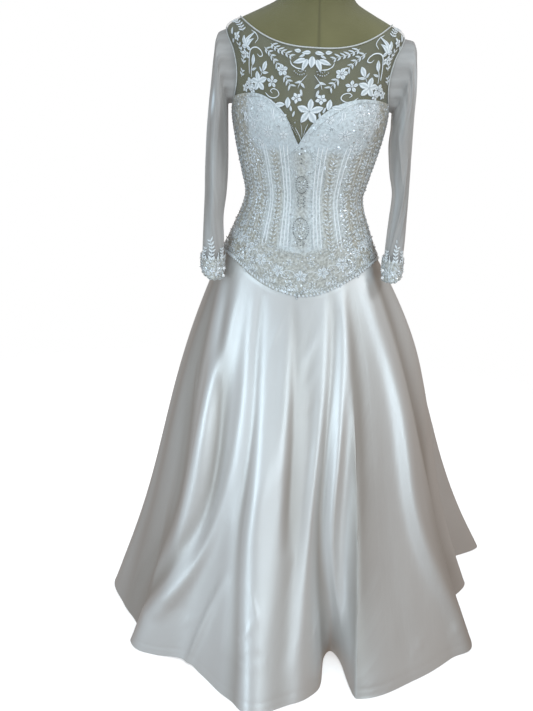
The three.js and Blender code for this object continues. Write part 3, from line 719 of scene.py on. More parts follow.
def sewn_cord(name, node, angle, level, radius, twists):
    """A closed cord off the form, uneven where its wrapping turns."""
    centre = off_form(angle, level, NET_CLEAR + CORD_RADIUS)
    normal = surface_normal(form_point, angle, level, 0.5, 0.5)
    along = unit(np.roll(centre, -1, 0) - np.roll(centre, 1, 0))
    up = unit(normal - along * (normal * along).sum(-1, keepdims=True))
    across = np.cross(up, along)
    turn = full_turn(8)[:, None]
    ring = up[:, None] * np.cos(turn) + across[:, None] * np.sin(turn)
    thick = radius * (1 + 0.05 * np.sin(full_turn(len(centre)) * twists))
    grid = centre[:, None] + thick[:, None, None] * ring
    grid = np.concatenate([grid, grid[:1]])
    faces = np.roll(grid_faces(*grid.shape[:2], True, True) % (grid[:-1].size // 3), 1, 1)
    cord = make_mesh(name, grid[:-1].reshape(-1, 3), [faces], BINDING)
    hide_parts(node)


def make_bindings():
    beyond = CORD_RADIUS + BINDING_GAP
    angle = np.arange(720) / 2
    level = NECKLINE + beyond / mm_per_level(angle, NECKLINE)
    sewn_cord("neckline_cord", "neck_binding", angle, level, 1.5, 160)
    for side, sign in SIDES:
        angle, level = armhole_at(np.degrees(full_turn(400)), beyond)
        sewn_cord(f"armhole_cord_{side}", f"armhole_binding_{side}", angle * sign, level, 1.3, 100)


# ------------------------------------------------------------------ yoke
def neckline_edge(share, start, end, start_shoulder, end_shoulder):
    """Angle and level along the neckline, and down each strap that it ends in."""
    strap = 0.07                # the share of the edge that lies across a strap
    tip = ARMHOLE["level"] + ARMHOLE["half_height"]
    low = strap if start_shoulder else 0
    high = 1 - strap if end_shoulder else 1
    angle = mix(start, end, np.clip((share - low) / (high - low), 0, 1))
    level = np.full_like(share, NECKLINE)
    if start_shoulder:
        level = np.where(share < low, mix(tip, NECKLINE, share / strap), level)
    if end_shoulder:
        level = np.where(share > high, mix(tip, NECKLINE, (1 - share) / strap), level)
    return np.stack([angle, level], -1)


def patch(start, end, top, foot, columns, rows):
    """Angle and level over a patch between four edges."""
    u, v = np.linspace(0, 1, columns), np.linspace(0, 1, rows)
    low, high, first, last = foot(u)[None], top(u)[None], start(v)[:, None], end(v)[:, None]
    u, v = u[None, :, None], v[:, None, None]
    corners = mix(mix(low[:, :1], low[:, -1:], u), mix(high[:, :1], high[:, -1:], u), v)
    return mix(low, high, v) + mix(first, last, u) - corners


def make_yoke():
    half_gap = (SEAM_GAP / 2) / float(mm_per_degree(90, 1398))
    corner_level = float(bodice_top(FRONT_CORNER - 1e-6))

    def sweep(level):
        return 180 - math.degrees(math.acos(
            (ARMHOLE["level"] - level + LAY_UNDER) / ARMHOLE["half_height"]))

    front_sweep, back_sweep = sweep(corner_level), sweep(BACK_TOP)

    def front(sign):
        def edge(v):
            angle, level = armhole_at(mix(front_sweep, 0, v), 0)
            return np.stack([sign * (angle - half_gap * v), level], -1)
        return edge

    def back(v):
        angle, level = armhole_at(-mix(back_sweep, 0, v), 0)
        return np.stack([angle + half_gap * v, level], -1)

    def front_foot(u):
        corner = front(1)(np.array([0.0]))[0, 0]
        angle = mix(-corner, corner, u)
        heart = through(SWEETHEART["angle"], SWEETHEART["z"], side_angle(angle))
        return np.stack([angle, heart - LAY_UNDER], -1)

    shoulder = 90 - half_gap
    places = {"yoke_front": patch(
        front(-1), front(1),
        lambda u: neckline_edge(u, -shoulder, shoulder, True, True), front_foot, 150, 60)}
    centre = 180 - (SEAM_GAP / 2) / float(mm_per_degree(180, 1330))
    first = back(np.array([0.0]))[0, 0]
    right = patch(
        back,
        lambda v: np.stack([np.full_like(v, centre), mix(BACK_TOP - LAY_UNDER, NECKLINE, v)], -1),
        lambda u: neckline_edge(u, 180 - shoulder, centre, True, False),
        lambda u: np.stack([mix(first, centre, u), np.full_like(u, BACK_TOP - LAY_UNDER)], -1),
        70, 50)
    places["yoke_back_right"] = right
    places["yoke_back_left"] = (right * [-1, 1])[:, ::-1]
    for name, place in places.items():
        angle, level = turned(place[..., 0], place[..., 1]), place[..., 1]
        lift = NET_CLEAR + NET_THICK / 2 + strap_lift(level)
        piece = cloth(f"net_{name}", off_form(angle, level, lift), NET, name)


# ------------------------------------------------------------------ bodice
BONES = (9.6, 12.4, 15.2, 28.2, 31.2, 44, 57, 71.5, 87, 102.5, 117.5, 132.5, 148)
CENTRE_LINE = 2.5               # angle of the line that the bones and embroidery are mirrored about
BONE_RIB = {"width": 0.55, "rise": 0.7}
SEAM_WIDTH, SEAM_DIP = 0.5, 0.3
# Each panel's first and last angle, and its flat width, length and area in metres.
BODICE_PANELS = {
    "bodice_front": (-36, 36, 0.22, 0.40, 0.067),
    "bodice_side_front_right": (36, 90, 0.13, 0.37, 0.039),
    "bodice_side_front_left": (-90, -36, 0.12, 0.37, 0.035),
    "bodice_side_back_right": (90, 145, 0.13, 0.32, 0.034),
    "bodice_side_back_left": (-145, -90, 0.13, 0.32, 0.034),
    "bodice_back_right": (145, 180, 0.11, 0.33, 0.029),
    "bodice_back_left": (180, 215, 0.11, 0.33, 0.029)}


def make_bodice():
    for name, (start, end, *flat) in BODICE_PANELS.items():
        columns = int((end - start) / 0.7) + 1
        share, angle = np.meshgrid(
            np.linspace(0, 1, 50), np.linspace(start, end, columns), indexing="ij")
        level = mix(bodice_foot(angle), bodice_top(angle), share)
        low = smooth((1165 - level) / 40) * smooth((level - 905) / 30)
        side = side_angle(angle - CENTRE_LINE)
        rib = sum(bell(side - bone, BONE_RIB["width"]) for bone in BONES) * low
        seam = bell(angle - start, SEAM_WIDTH) + bell(angle - end, SEAM_WIDTH)
        height = BODICE_CLEAR + BODICE_THICK / 2 + BONE_RIB["rise"] * rib - SEAM_DIP * seam
        piece = cloth(f"lace_{name}", off_form(turned(angle, level), level, height), LACE,
                      name, 1.2, values={"net_and_side_shade": net_ground_and_side_shade(angle, level)})


def net_ground_and_side_shade(angle, level):
    """0 where the bodice is white satin and 1 where its grey-beige net shows between beads; toward
    the sides it also stands for painted shade.
    """
    side = side_angle(angle - CENTRE_LINE)
    cup = smooth((level - 1150) / 40)
    below = smooth((1170 - level) / 20) * smooth((level - 950) / 20)
    flank = smooth((side - mix(33, 44, cup)) / 14)
    columns = 0.25 + 0.4 * bell(side, 5)
    columns += 0.75 * bell(side - 21.5, 4.5) + 0.35 * bell(side - 37.5, 4)
    band = 0.75 * smooth((bodice_foot(angle) + 96 - level) / 14)
    return np.clip(np.maximum(flank + columns * below, band) + 0.15 * cup, 0, 1)


def make_plackets():
    for name, low, high, lift, length in (
            ("back_placket", float(bodice_foot(180)), BACK_TOP, BODICE_CLEAR + BODICE_THICK, 0.33),
            ("yoke_placket", BACK_TOP + 4, NECKLINE - 1, NET_CLEAR + NET_THICK, 0.12)):
        share, across = np.meshgrid(np.linspace(0, 1, 60), np.linspace(-1, 1, 9), indexing="ij")
        level = mix(low, high, share)
        angle = 180 + across * PLACKET_WIDTH / 2 / mm_per_degree(180, level)
        height = lift + SEAM_GAP + NET_THICK / 2 + strap_lift(level)
        height = height + 0.5 * (1 - across ** 4) - 0.3 * bell(np.abs(across) - 0.8, 0.1)
        piece = cloth(f"trim_{name}", off_form(angle, level, height), LACE, name, 0.8)


# ------------------------------------------------------------------ sleeves
def tube_ring(section, turn, grow, sign):
    """Points round one sleeve section; turn 0 is outermost and a quarter turn is the front."""
    out_x = (section["outX"] - section["inX"]) / 2
    out_z = (section["outZ"] - section["inZ"]) / 2
    reach = np.cos(turn) * (1 + grow / np.hypot(out_x, out_z))
    return np.stack([
        sign * ((section["outX"] + section["inX"]) / 2 + out_x * reach),
        section["y"] - np.sin(turn) * (section["deep"] + grow),
        (section["outZ"] + section["inZ"]) / 2 + out_z * reach], -1)


def spline_rows(rings, shares, at):
    """Rings between given rings, along a smooth curve."""
    flat = np.stack(rings).reshape(len(rings), -1)
    made = np.empty((len(at), flat.shape[1]))
    for column in range(flat.shape[1]):
        made[:, column] = through(np.asarray(shares, float), flat[:, column], at)
    return made.reshape(len(at), *rings[0].shape)


# Folds of each sleeve: turns at both ends, shares down the sleeve, half width in radians, height.
SLEEVE_FOLDS = {
    "left": table(["top", "foot", "from", "to", "width", "height"], [
        [50, 70, 0.02, 0.55, 0.16, 3.0], [78, 84, 0.0, 0.98, 0.13, 2.2],
        [110, 100, 0.02, 0.6, 0.14, 2.6], [20, 40, 0.0, 0.7, 0.18, 3.0],
        [140, 150, 0.05, 0.8, 0.18, 3.2], [60, 118, 0.45, 0.98, 0.14, 2.0],
        [250, 240, 0.0, 0.9, 0.25, 3.5], [300, 310, 0.05, 0.95, 0.22, 3.0],
        [200, 210, 0.1, 0.9, 0.2, 2.4]]),
    "right": table(["top", "foot", "from", "to", "width", "height"], [
        [60, 76, 0.0, 0.34, 0.12, 4.0], [86, 92, 0.0, 0.30, 0.11, 3.4],
        [112, 100, 0.0, 0.34, 0.12, 3.4], [36, 58, 0.0, 0.5, 0.14, 3.6],
        [130, 92, 0.34, 0.66, 0.13, 4.2], [60, 128, 0.50, 0.98, 0.13, 4.4],
        [30, 96, 0.55, 0.98, 0.14, 3.2], [150, 140, 0.55, 1.0, 0.16, 2.6],
        [250, 250, 0.0, 0.95, 0.25, 3.5], [300, 320, 0.05, 0.95, 0.22, 3.0],
        [200, 190, 0.1, 0.9, 0.2, 2.6]]),
}
# Painted highlights on the tulle, paler streaks: turn, share, half widths in turn and share,
# strength.
SLEEVE_PAINTED_HIGHLIGHTS = {
    "left": [(62, 0.29, 9, 0.045, 1.0), (58, 0.34, 7, 0.03, 0.6), (22, 0.50, 16, 0.17, 0.40),
             (80, 0.62, 12, 0.2, 0.22), (60, 0.9, 30, 0.1, 0.15)],
    "right": [(40, 0.14, 16, 0.1, 0.30), (110, 0.30, 10, 0.12, 0.25), (36, 0.45, 12, 0.2, 0.22),
              (130, 0.72, 12, 0.14, 0.28), (60, 0.9, 30, 0.1, 0.12)],
}
SLEEVE_TOP = 1393               # level from which the way down a sleeve is counted
SLEEVE_LIFT = 0.4               # how far off the yoke's inner face the sleeve begins
GATHERS = {"count": 15, "height": 2.0, "reach": 0.13}
CUFF_BARE = 0.75                # how much grey-beige net the cuffs show


def make_sleeve(side, sign):
    turn = full_turn(128)
    inset = 2 * CORD_RADIUS + BINDING_GAP + 2 * SEAM_GAP
    a, level = armhole_at(np.degrees(turn), inset)
    mouth = off_form(a * sign, level, NET_CLEAR + SLEEVE_LIFT)
    lines = SLEEVES[side]
    rings = [mouth] + [tube_ring({k: v[i] for k, v in lines.items()}, turn, -NET_THICK / 2, sign)
                       for i in range(len(lines["y"]))]
    heights = np.append([0], SLEEVE_TOP - lines["outZ"])
    shares = heights / heights[-1]
    at = np.concatenate([np.linspace(0, shares[1], 8)[:-1], np.linspace(shares[1], 1, 106)])
    grid = spline_rows(rings, shares, at)
    outward = unit(grid - grid.mean(1, keepdims=True))
    swell = np.zeros(grid.shape[:2])
    degrees = np.degrees(turn)[None, :]
    for top, foot, start, end, width, height in zip(*SLEEVE_FOLDS[side].values()):
        along = np.clip((at - start) / (end - start), 0, 1)[:, None]
        off = wrapped(degrees - mix(top, foot, along))
        inside = (at > start) & (at < end)
        fold = height * bell(np.radians(off), width) * np.sin(np.pi * along) ** 0.7
        swell += fold * inside[:, None]
    lean = 1.5 + 6 * at[:, None]
    gathers = GATHERS["height"] * np.sin(np.radians(degrees) * GATHERS["count"] + lean)
    gathers = gathers * bell(at[:, None] - shares[1], GATHERS["reach"])
    narrow = np.minimum(1, at / shares[1])[:, None]
    swell = (swell * 0.9 - 1.6 + gathers) * narrow * smooth((1 - at) / 0.02)[:, None]
    grid = grid + outward * swell[..., None]
    # painted highlights: paler streaks on the sleeve's tulle
    painted_highlight = np.zeros(grid.shape[:2])
    for place, share, wide, long, strength in SLEEVE_PAINTED_HIGHLIGHTS[side]:
        off = wrapped(degrees - place)
        painted_highlight += strength * bell(off, wide) * bell(at[:, None] - share, long)
    piece = cloth(f"tulle_sleeve_{side}", grid, TULLE, f"sleeve_{side}",
                  closed=True, flip=sign > 0, values={"painted_highlight": np.clip(painted_highlight, 0, 1)})


def cuff_point(side, sign, turn, share, grow):
    """A point on a cuff, from the sleeve (0) to its edge (1), further up at its lap."""
    over = np.array([0.0, 0.5, 1.0])
    section = {k: through(over, v, share) for k, v in CUFFS[side].items()}
    lap = CUFF_LAP * (1 - np.clip(share * 4, 0, 1))
    section["outZ"] = section["outZ"] + lap
    section["inZ"] = section["inZ"] + lap
    return tube_ring(section, turn, grow, sign)


def make_cuff(side, sign):
    share, turn = np.meshgrid(np.linspace(0, 1, 34), full_turn(120), indexing="ij")
    grid = cuff_point(side, sign, turn, share, SEAM_GAP + NET_THICK / 2)
    grid[..., 2] += cuff_edge(turn, share)
    piece = cloth(f"lace_cuff_{side}", grid, LACE, f"cuff_{side}", 0.8, True, sign > 0,
                  {"net_and_side_shade": np.full(grid.shape[:2], CUFF_BARE)})


# ------------------------------------------------------------------ stitches and beads
YOKE_FACE = NET_CLEAR + NET_THICK / 2 + 0.2
BODICE_FACE = BODICE_CLEAR + BODICE_THICK / 2 + 0.55


CRYSTAL = 2.1                   # radius of the bead in a daisy
SPECKS = 15000                  # how many sequins and seed beads are drawn, before some are left out
SEQUIN_SHARE = 0.62
SEQUIN_CUP = 0.34               # how far a sequin tips, as a share of its radius
HERRINGBONE_STEP = 8.2          # millimetres from one pair of petals to the next
BAND_STEP = 14.5                # degrees from one flower of the bodice's lower band to the next
EDGE_STEP = 2.4                 # degrees from one petal of its edge to the next
BAND_END = 174                  # angle where the edge stops, near the back placket
# A petal's rows along it, and across it its columns, its height and how pale it is, which is painted
# shade: dark at its edges and where its rims dip.
LARGE_PETAL = ([0, 0.08, 0.28, 0.5, 0.72, 0.92, 1.0], [-1, -0.72, -0.34, 0, 0.34, 0.72, 1.0],
               [0, 1.0, 0.55, 0.75, 0.55, 1.0, 0], [0, 1.0, 0.5, 0.3, 0.5, 1.0, 0])
SMALL_PETAL = ([0, 0.1, 0.5, 0.9, 1.0], [-1, -0.6, 0, 0.6, 1], [0, 1.0, 0.7, 1.0, 0],
               [0, 1.0, 0.5, 1.0, 0])


class Stitches:
    """Raised stitches and beads in a chart: an angle, a level and a height off the cloth.

    Motifs are drawn in millimetres about a place on the chart.  In a mirrored chart the angle
    is counted outward from the centre line, and the whole is laid on both halves.
    """

    def __init__(self, mirrored):
        self.mirrored = mirrored
        self.chart, self.faces, self.tones, self.count = [], [], [], 0

    def add(self, chart, faces, tone_and_shade=None):
        """Takes in points of the chart, their faces and how pale each point is: painted shade on
        stitches, a bead's own colour on beads.
        """
        self.chart.append(chart)
        self.tones.append(np.ones(len(chart)) if tone_and_shade is None else tone_and_shade)
        self.faces.append([f + self.count for f in faces])
        self.count += len(chart)

    def scale(self, at):
        """Millimetres for each unit of the chart, both ways."""
        return np.stack([mm_per_degree(at[..., 0], at[..., 1]),
                         np.maximum(mm_per_level(at[..., 0], at[..., 1]), 0.3)], -1)

    def shift(self, at, aside, up):
        """Places aside and up from a place, in millimetres."""
        return np.asarray(at, float) + np.stack([aside, up], -1) / self.scale(np.asarray(at, float))

    def petal(self, foot, aim, length, width, rise=0.9, point=0.75):
        """An almond of satin stitch with a corded rim; aim 0 is up and 90 is outward."""
        u, v, crest, rim = map(np.array, SMALL_PETAL if length < 9.5 else LARGE_PETAL)
        u = u[:, None]
        half = width / 2 * np.sin(np.pi * u ** point) ** 0.85
        turn = math.radians(aim)
        along, across = u * length + 0 * v, half * v
        aside = along * math.sin(turn) + across * math.cos(turn)
        up = along * math.cos(turn) - across * math.sin(turn)
        place = self.shift(foot, aside.ravel(), up.ravel())
        height = (crest * rise * (0.35 + 0.65 * np.sin(np.pi * u))).ravel()
        # painted shade: dark round the petal's edges and at its foot
        tone_and_shade = rim * np.minimum(1, np.where(u == 1, 0.4, u * 1e3))
        self.add(np.column_stack([place, height]), [grid_faces(len(u), v.size)], tone_and_shade.ravel())

    def ring_of_petals(self, at, count, turn, gap, length, width, rise, point):
        """Petals about a place, each with its foot a gap away from it."""
        for aim in turn + 360 / count * np.arange(count):
            a = math.radians(aim)
            foot = self.shift(at, gap * math.sin(a), gap * math.cos(a))
            self.petal(foot, aim, length, width, rise, point)

    def flower(self, at, radius, turn=0.0, width=0.95):
        """Five broad petals round a bead."""
        across = width * 2 * radius * math.sin(math.pi / 5) * 0.72
        self.ring_of_petals(at, 5, turn, 0.14 * radius, 0.9 * radius, across, 0.9, 1.15)
        self.bead(at, 0.16 * radius + 0.5, 0.5)

    def daisy(self, at, radius, turn=0.0):
        """Six narrow petals, with room for a crystal."""
        self.ring_of_petals(at, 6, turn, 0.35 * radius, 0.65 * radius, 0.45 * radius, 1.3, 1.0)

    def smooth_route(self, route, step=1.8):
        """Places along a route, the way at each, the chart's scale and the length so far."""
        route = np.asarray(route, float)
        scale = self.scale(route.mean(0))
        length = np.concatenate([[0], np.cumsum(np.hypot(*(np.diff(route, axis=0) * scale).T))])
        at = np.linspace(0, length[-1], max(4, int(length[-1] / step)))
        line = np.stack([through(length, route[:, k], at) for k in range(2)], -1)
        way = np.gradient(line, axis=0) * scale
        return line, unit(way), scale, at

    def cord(self, route, width=1.6, rise=0.8):
        """A round stitched line, tapered at its ends."""
        line, way, scale, _ = self.smooth_route(route)
        v = np.array([-1, -0.6, 0, 0.6, 1.0])
        height = np.array([0, 0.8, 1, 0.8, 0.0]) * rise
        side = np.stack([way[:, 1], -way[:, 0]], -1)
        steps = np.arange(len(line))
        taper = np.minimum(1, 0.45 + 0.2 * np.minimum(steps, steps[::-1]))
        reach = v[None, :, None] * width / 2 * taper[:, None, None]
        place = line[:, None] + side[:, None] * reach / scale
        height = np.broadcast_to(height[None, :, None], (*place.shape[:2], 1))
        chart = np.concatenate([place, height], -1)
        # painted shade: dark along the cord's edges
        tone_and_shade = np.broadcast_to(np.array([0.1, 1, 1, 1, 0.1]), (len(line), 5))
        self.add(chart.reshape(-1, 3), [grid_faces(len(line), 5)], tone_and_shade.ravel())

    def vine(self, route, leaf, width, spacing, spread, stem=1.3):
        """A stem with pairs of leaves, like a herringbone."""
        line, way, scale, at = self.smooth_route(route, 0.8)
        self.cord(route, stem)
        for number, reach in enumerate(np.arange(spacing * 0.4, at[-1], spacing)):
            i = int(np.searchsorted(at, reach).clip(0, len(at) - 1))
            heading = math.degrees(math.atan2(way[i, 0], way[i, 1]))
            for side in (-1, 1):
                size = leaf * (1 - 0.12 * (number % 2))
                foot = line[i] + np.array([way[i, 1], -way[i, 0]]) * side * 0.5 / scale
                self.petal(foot, heading + side * spread, size, width)

    def bead(self, at, radius, base=0.0, tone_and_shade=1.0):
        """One round bead."""
        self.beads([at], radius, base, tone_and_shade=tone_and_shade)

    def beads(self, places, radius, base=0.0, sides=6, tone_and_shade=1.0):
        """Round beads: two rings and a crown each; a low tone is a dark one."""
        places = np.asarray(places, float)
        radius = np.broadcast_to(np.asarray(radius, float), (len(places),))
        ring = np.stack([np.cos(full_turn(sides)), np.sin(full_turn(sides))], -1)
        scale = self.scale(places)[:, None]
        low = places[:, None] + ring[None] * radius[:, None, None] / scale
        high = places[:, None] + ring[None] * radius[:, None, None] * 0.72 / scale
        crown = places[:, None]
        r = radius[:, None]
        heights = np.concatenate([np.repeat(base + 0.45 * r, sides, 1),
                                  np.repeat(base + 1.35 * r, sides, 1), base + 1.8 * r], 1)
        chart = np.concatenate([np.concatenate([low, high, crown], 1), heights[..., None]], -1)
        k = np.arange(sides)
        nxt = (k + 1) % sides
        quads = np.stack([k, k + sides, nxt + sides, nxt], -1)[:, ::-1]
        caps = np.stack([k + sides, nxt + sides, np.full(sides, 2 * sides)], -1)[:, ::-1]
        start = np.arange(len(places))[:, None, None] * (2 * sides + 1)
        self.add(chart.reshape(-1, 3), [(quads[None] + start).reshape(-1, 4),
                                        (caps[None] + start).reshape(-1, 3)],
                 np.full(chart.shape[0] * chart.shape[1], tone_and_shade))

    def bead_line(self, route, radius, spacing):
        """Beads along a route, evenly spaced."""
        line, _, _, at = self.smooth_route(route, 0.5)
        wanted = np.arange(0, at[-1] + 1e-6, spacing)
        self.beads(np.stack([np.interp(wanted, at, line[:, k]) for k in range(2)], -1), radius)

    def bead_ring(self, at, across, up, count, radius, tone_and_shade=1.0):
        """Beads on an oval about a place."""
        a = full_turn(count)
        self.beads(self.shift(at, across * np.sin(a), up * np.cos(a)), radius, tone_and_shade=tone_and_shade)

    def sequins(self, places, radius):
        """Small cupped discs, each tipped its own way."""
        turn = full_turn(6)
        ring = np.stack([np.cos(turn), np.sin(turn)], -1)
        scale = self.scale(places)[:, None]
        rim = places[:, None] + ring[None] * radius[:, None, None] / scale
        lean = random.uniform(0, 2 * np.pi, (len(places), 1))
        heights = 0.55 + radius[:, None] * SEQUIN_CUP * np.cos(turn[None] - lean)
        chart = np.concatenate([
            np.concatenate([rim, places[:, None]], 1),
            np.concatenate([heights, np.full((len(places), 1), 0.42)], 1)[..., None]], -1)
        k = np.arange(6)
        fan = np.stack([k, (k + 1) % 6, np.full(6, 6)], -1)[:, ::-1]
        start = np.arange(len(places))[:, None, None] * 7
        self.add(chart.reshape(-1, 3), [(fan[None] + start).reshape(-1, 3)])

    def laid(self, surface):
        """Points, faces and tones on a surface, over one half or both."""
        chart = np.concatenate(self.chart)
        points, faces = [], []
        for side in (-1, 1) if self.mirrored else (1,):
            angle = chart[:, 0]
            if self.mirrored:
                angle = CENTRE_LINE * smooth((130 - np.abs(angle)) / 60) + side * angle
            start = sum(len(p) for p in points)
            points.append(surface(angle, chart[:, 1], chart[:, 2]))
            for group in self.faces:
                for f in group:
                    faces.append((f[:, ::-1] if side < 0 else f) + start)
        return np.concatenate(points), faces, np.tile(np.concatenate(self.tones), len(points))


def sewn(name, charts, surface, material):
    """One piece of all the stitches in some charts."""
    points, faces, tones, count = [], [], [], 0
    for chart in charts:
        more, shapes, shades = chart.laid(surface)
        points.append(more)
        tones.append(shades)
        faces += [f + count for f in shapes]
        count += len(more)
    by_size = {}
    for f in faces:
        by_size.setdefault(f.shape[1], []).append(f)
    return make_mesh(name, np.concatenate(points), [np.concatenate(v) for v in by_size.values()],
                     material, values={"tone_and_shade": np.concatenate(tones)})


def each(draw, rows):
    """Draws a motif for each row of what it takes."""
    for row in rows:
        draw(*row)


def on_yoke(angle, level, height):
    """Points on the yoke's face, where a chart says."""
    return off_form(turned(angle, level), level, YOKE_FACE + strap_lift(level) + height)


def on_bodice(angle, level, height):
    """Points on the bodice's face, where a chart says."""
    return off_form(turned(angle, level), level, BODICE_FACE + height)


def embroider_yoke():
    """White floss on the net: sprays from the neckline, vines, and flowers on the cups' edge."""
    pair, crystals = Stitches(True), Stitches(True)
    middle = Stitches(False)

    # hanging lily under the centre of the neckline
    middle.petal((CENTRE_LINE, 1396), 180, 36, 14)
    each(pair.petal, [
        ((2.6, 1388), 163, 31, 11.5), ((3.6, 1386), 112, 27, 12), ((1.2, 1402), 96, 19, 9),
        ((7.6, 1402), 82, 14, 8), ((4.6, 1398), 128, 13, 6)])
    pair.cord([(12.8, 1378), (11.8, 1364), (9.0, 1354), (5.5, 1351)], 2.2)
    each(crystals.bead_line, [
        ([(9.8, 1342), (8.0, 1334), (5.2, 1332), (3.0, 1338)], 1.5, 4.4),
        ([(7.4, 1345), (5.6, 1341), (4.2, 1347), (2.4, 1343)], 1.3, 4.0)])

    # spray along the neckline, and the herringbone vine down to the heart's dip
    each(pair.vine, [
        ([(31, 1403), (22, 1398), (15, 1394), (11, 1388)], 11.5, 3.8, 9.6, 40, 0.9),
        ([(33, 1394), (28.6, 1388), (25.0, 1376), (21.6, 1356)], 11.0, 3.7, 8.8, 44, 0.9)])
    pair.flower((18.0, 1341), 11.5, 12)
    pair.vine([(16.8, 1328), (14.4, 1315), (12.4, 1303), (11.0, 1294)], 12.0, 3.9, 9.4, 46, 0.9)
    pair.flower((7.0, 1266), 10.5, 30)

    # leaves of the centre column, like arrowheads
    pair.cord([(2.0, 1333), (3.8, 1320), (5.6, 1308), (6.8, 1292)], 1.4)
    each(pair.petal, [
        ((4.6, 1312), 104, 15, 5.0), ((5.2, 1308), 222, 13, 5.0), ((5.0, 1290), 196, 14, 5.0)])

    # star flower in the heart's dip
    star = (4.2, 1236)
    for aim, length, width in ((0, 28, 11), (70, 26, 15), (-70, 26, 15), (146, 24, 14),
                               (-146, 24, 14)):
        middle.petal(star, aim, length, width, 1.1, 1.05)
    crystals.bead_ring((1.7, 1236), 2.2, 2.2, 5, 1.0)
    each(pair.cord, [
        ([(5.5, 1205), (2.6, 1192), (0.6, 1180)], 1.4),
        ([(2.2, 1213), (1.0, 1200), (0.4, 1188)], 1.1)])

    # bud and small leaves beside it
    each(pair.petal, [
        ((12.2, 1240), 4, 24, 12.0, 1.1, 0.95), ((9.4, 1234), 16, 13, 4.6),
        ((8.0, 1224), -10, 12, 4.6)])
    crystals.bead((6.0, 1214), 1.9)

    # star and clusters along the cup's edge
    pair.flower((25.6, 1303), 12.0, 0, 0.72)
    for aim, length, width in ((8, 21, 13), (-62, 23, 13), (-134, 20, 13), (154, 18, 13),
                               (82, 18, 12)):
        pair.petal((38.8, 1297), aim, length, width, 1.2, 1.1)
    crystals.bead_ring((38.8, 1297), 2.6, 2.6, 5, 1.1)
    each(pair.flower, [
        ((48.4, 1290), 11.5, 20), ((54.6, 1278), 8.5, -10), ((45.5, 1276), 8.0, 20)])

    # leaf buds above the clusters
    pair.cord([(36.4, 1312), (34.4, 1326)], 1.4)
    each(pair.petal, [
        ((34.2, 1326), -22, 25, 10.5, 1.0, 0.95), ((34.6, 1322), -78, 15, 5.6),
        ((35.2, 1324), 30, 11, 4.6)])
    pair.cord([(46.5, 1306), (46.4, 1322), (45.0, 1336)], 1.4)
    each(pair.petal, [
        ((45.0, 1334), -14, 26, 9.0, 1.0, 0.9), ((45.8, 1322), -60, 14, 5.0)])

    # tall scroll with a hook, and the lily at the strap
    pair.cord([(49.0, 1312), (48.6, 1340), (47.0, 1362), (43.4, 1380), (38.6, 1387), (34.4, 1382),
               (33.6, 1372), (36.4, 1366), (38.4, 1371)], 2.1)
    pair.flower((51.8, 1357), 9.5, 10)
    for aim, length in ((-28, 20), (6, 24), (42, 20), (100, 13), (-92, 12)):
        pair.petal((49.6, 1376), aim, length, 8.5, 1.1, 1.0)
    pair.cord([(54.5, 1405), (49.0, 1405), (43.2, 1401), (41.8, 1393)], 1.5)
    each(pair.vine, [
        ([(56.0, 1330), (55.6, 1350), (58.5, 1372)], 9.0, 4.0, 8.0, 45, 1.1),
        ([(60, 1300), (58, 1316)], 8.5, 4.0, 8.0, 45, 1.1)])

    # leaves and a bud on the strap
    pair.vine([(59, 1398), (66, 1401), (74, 1402), (82, 1400)], 8.5, 4.2, 7.5, 45, 1.0)
    pair.flower((61.5, 1386), 8.0, 0)
    each(pair.petal, [
        ((67.5, 1384), 40, 12, 5.6), ((65.5, 1378), 150, 11, 5.2)])

    # scroll below the star
    pair.cord([(31.0, 1273), (27.0, 1264), (22.4, 1262), (19.4, 1270), (20.6, 1281), (24.2, 1285),
               (26.4, 1279), (24.6, 1273)], 1.9)

    # the back has the same vines, drawn toward its own centre line
    back = Stitches(True)
    each(back.vine, [
        ([(100, 1400), (118, 1401), (138, 1401), (156, 1401)], 9.5, 4.0, 8.6, 42, 1.0),
        ([(126, 1396), (132, 1376), (138, 1350), (146, 1322), (156, 1300)], 11, 4.6, 8.6, 40)])
    each(back.flower, [
        ((142, 1372), 12, 10), ((128, 1348), 10, 30), ((160, 1348), 11, 0), ((158, 1282), 14, 20),
        ((142, 1272), 11, 0), ((128, 1284), 9, 0)])
    back.vine([(166, 1270), (166, 1300), (168, 1336), (166, 1372)], 10, 4.2, 9.0, 40)
    each(back.petal, [
        ((150, 1264), 30, 18, 8), ((134, 1300), -20, 20, 8)])
    back.cord([(120, 1330), (116, 1356), (120, 1380), (126, 1378), (124, 1366)], 1.8)

    for stitches in (pair, crystals, middle):
        keep_on_net(stitches)
    sewn("floss_yoke", [pair, middle], on_yoke, FLOSS)
    sewn("floss_yoke_back", [back], on_yoke, FLOSS)
    sewn("crystals_yoke", [crystals], on_yoke, BEADS)


def keep_on_net(stitches):
    """Holds stitches below the neckline."""
    for points in stitches.chart:
        points[:, 1] = np.minimum(points[:, 1], NECKLINE - 0.6)


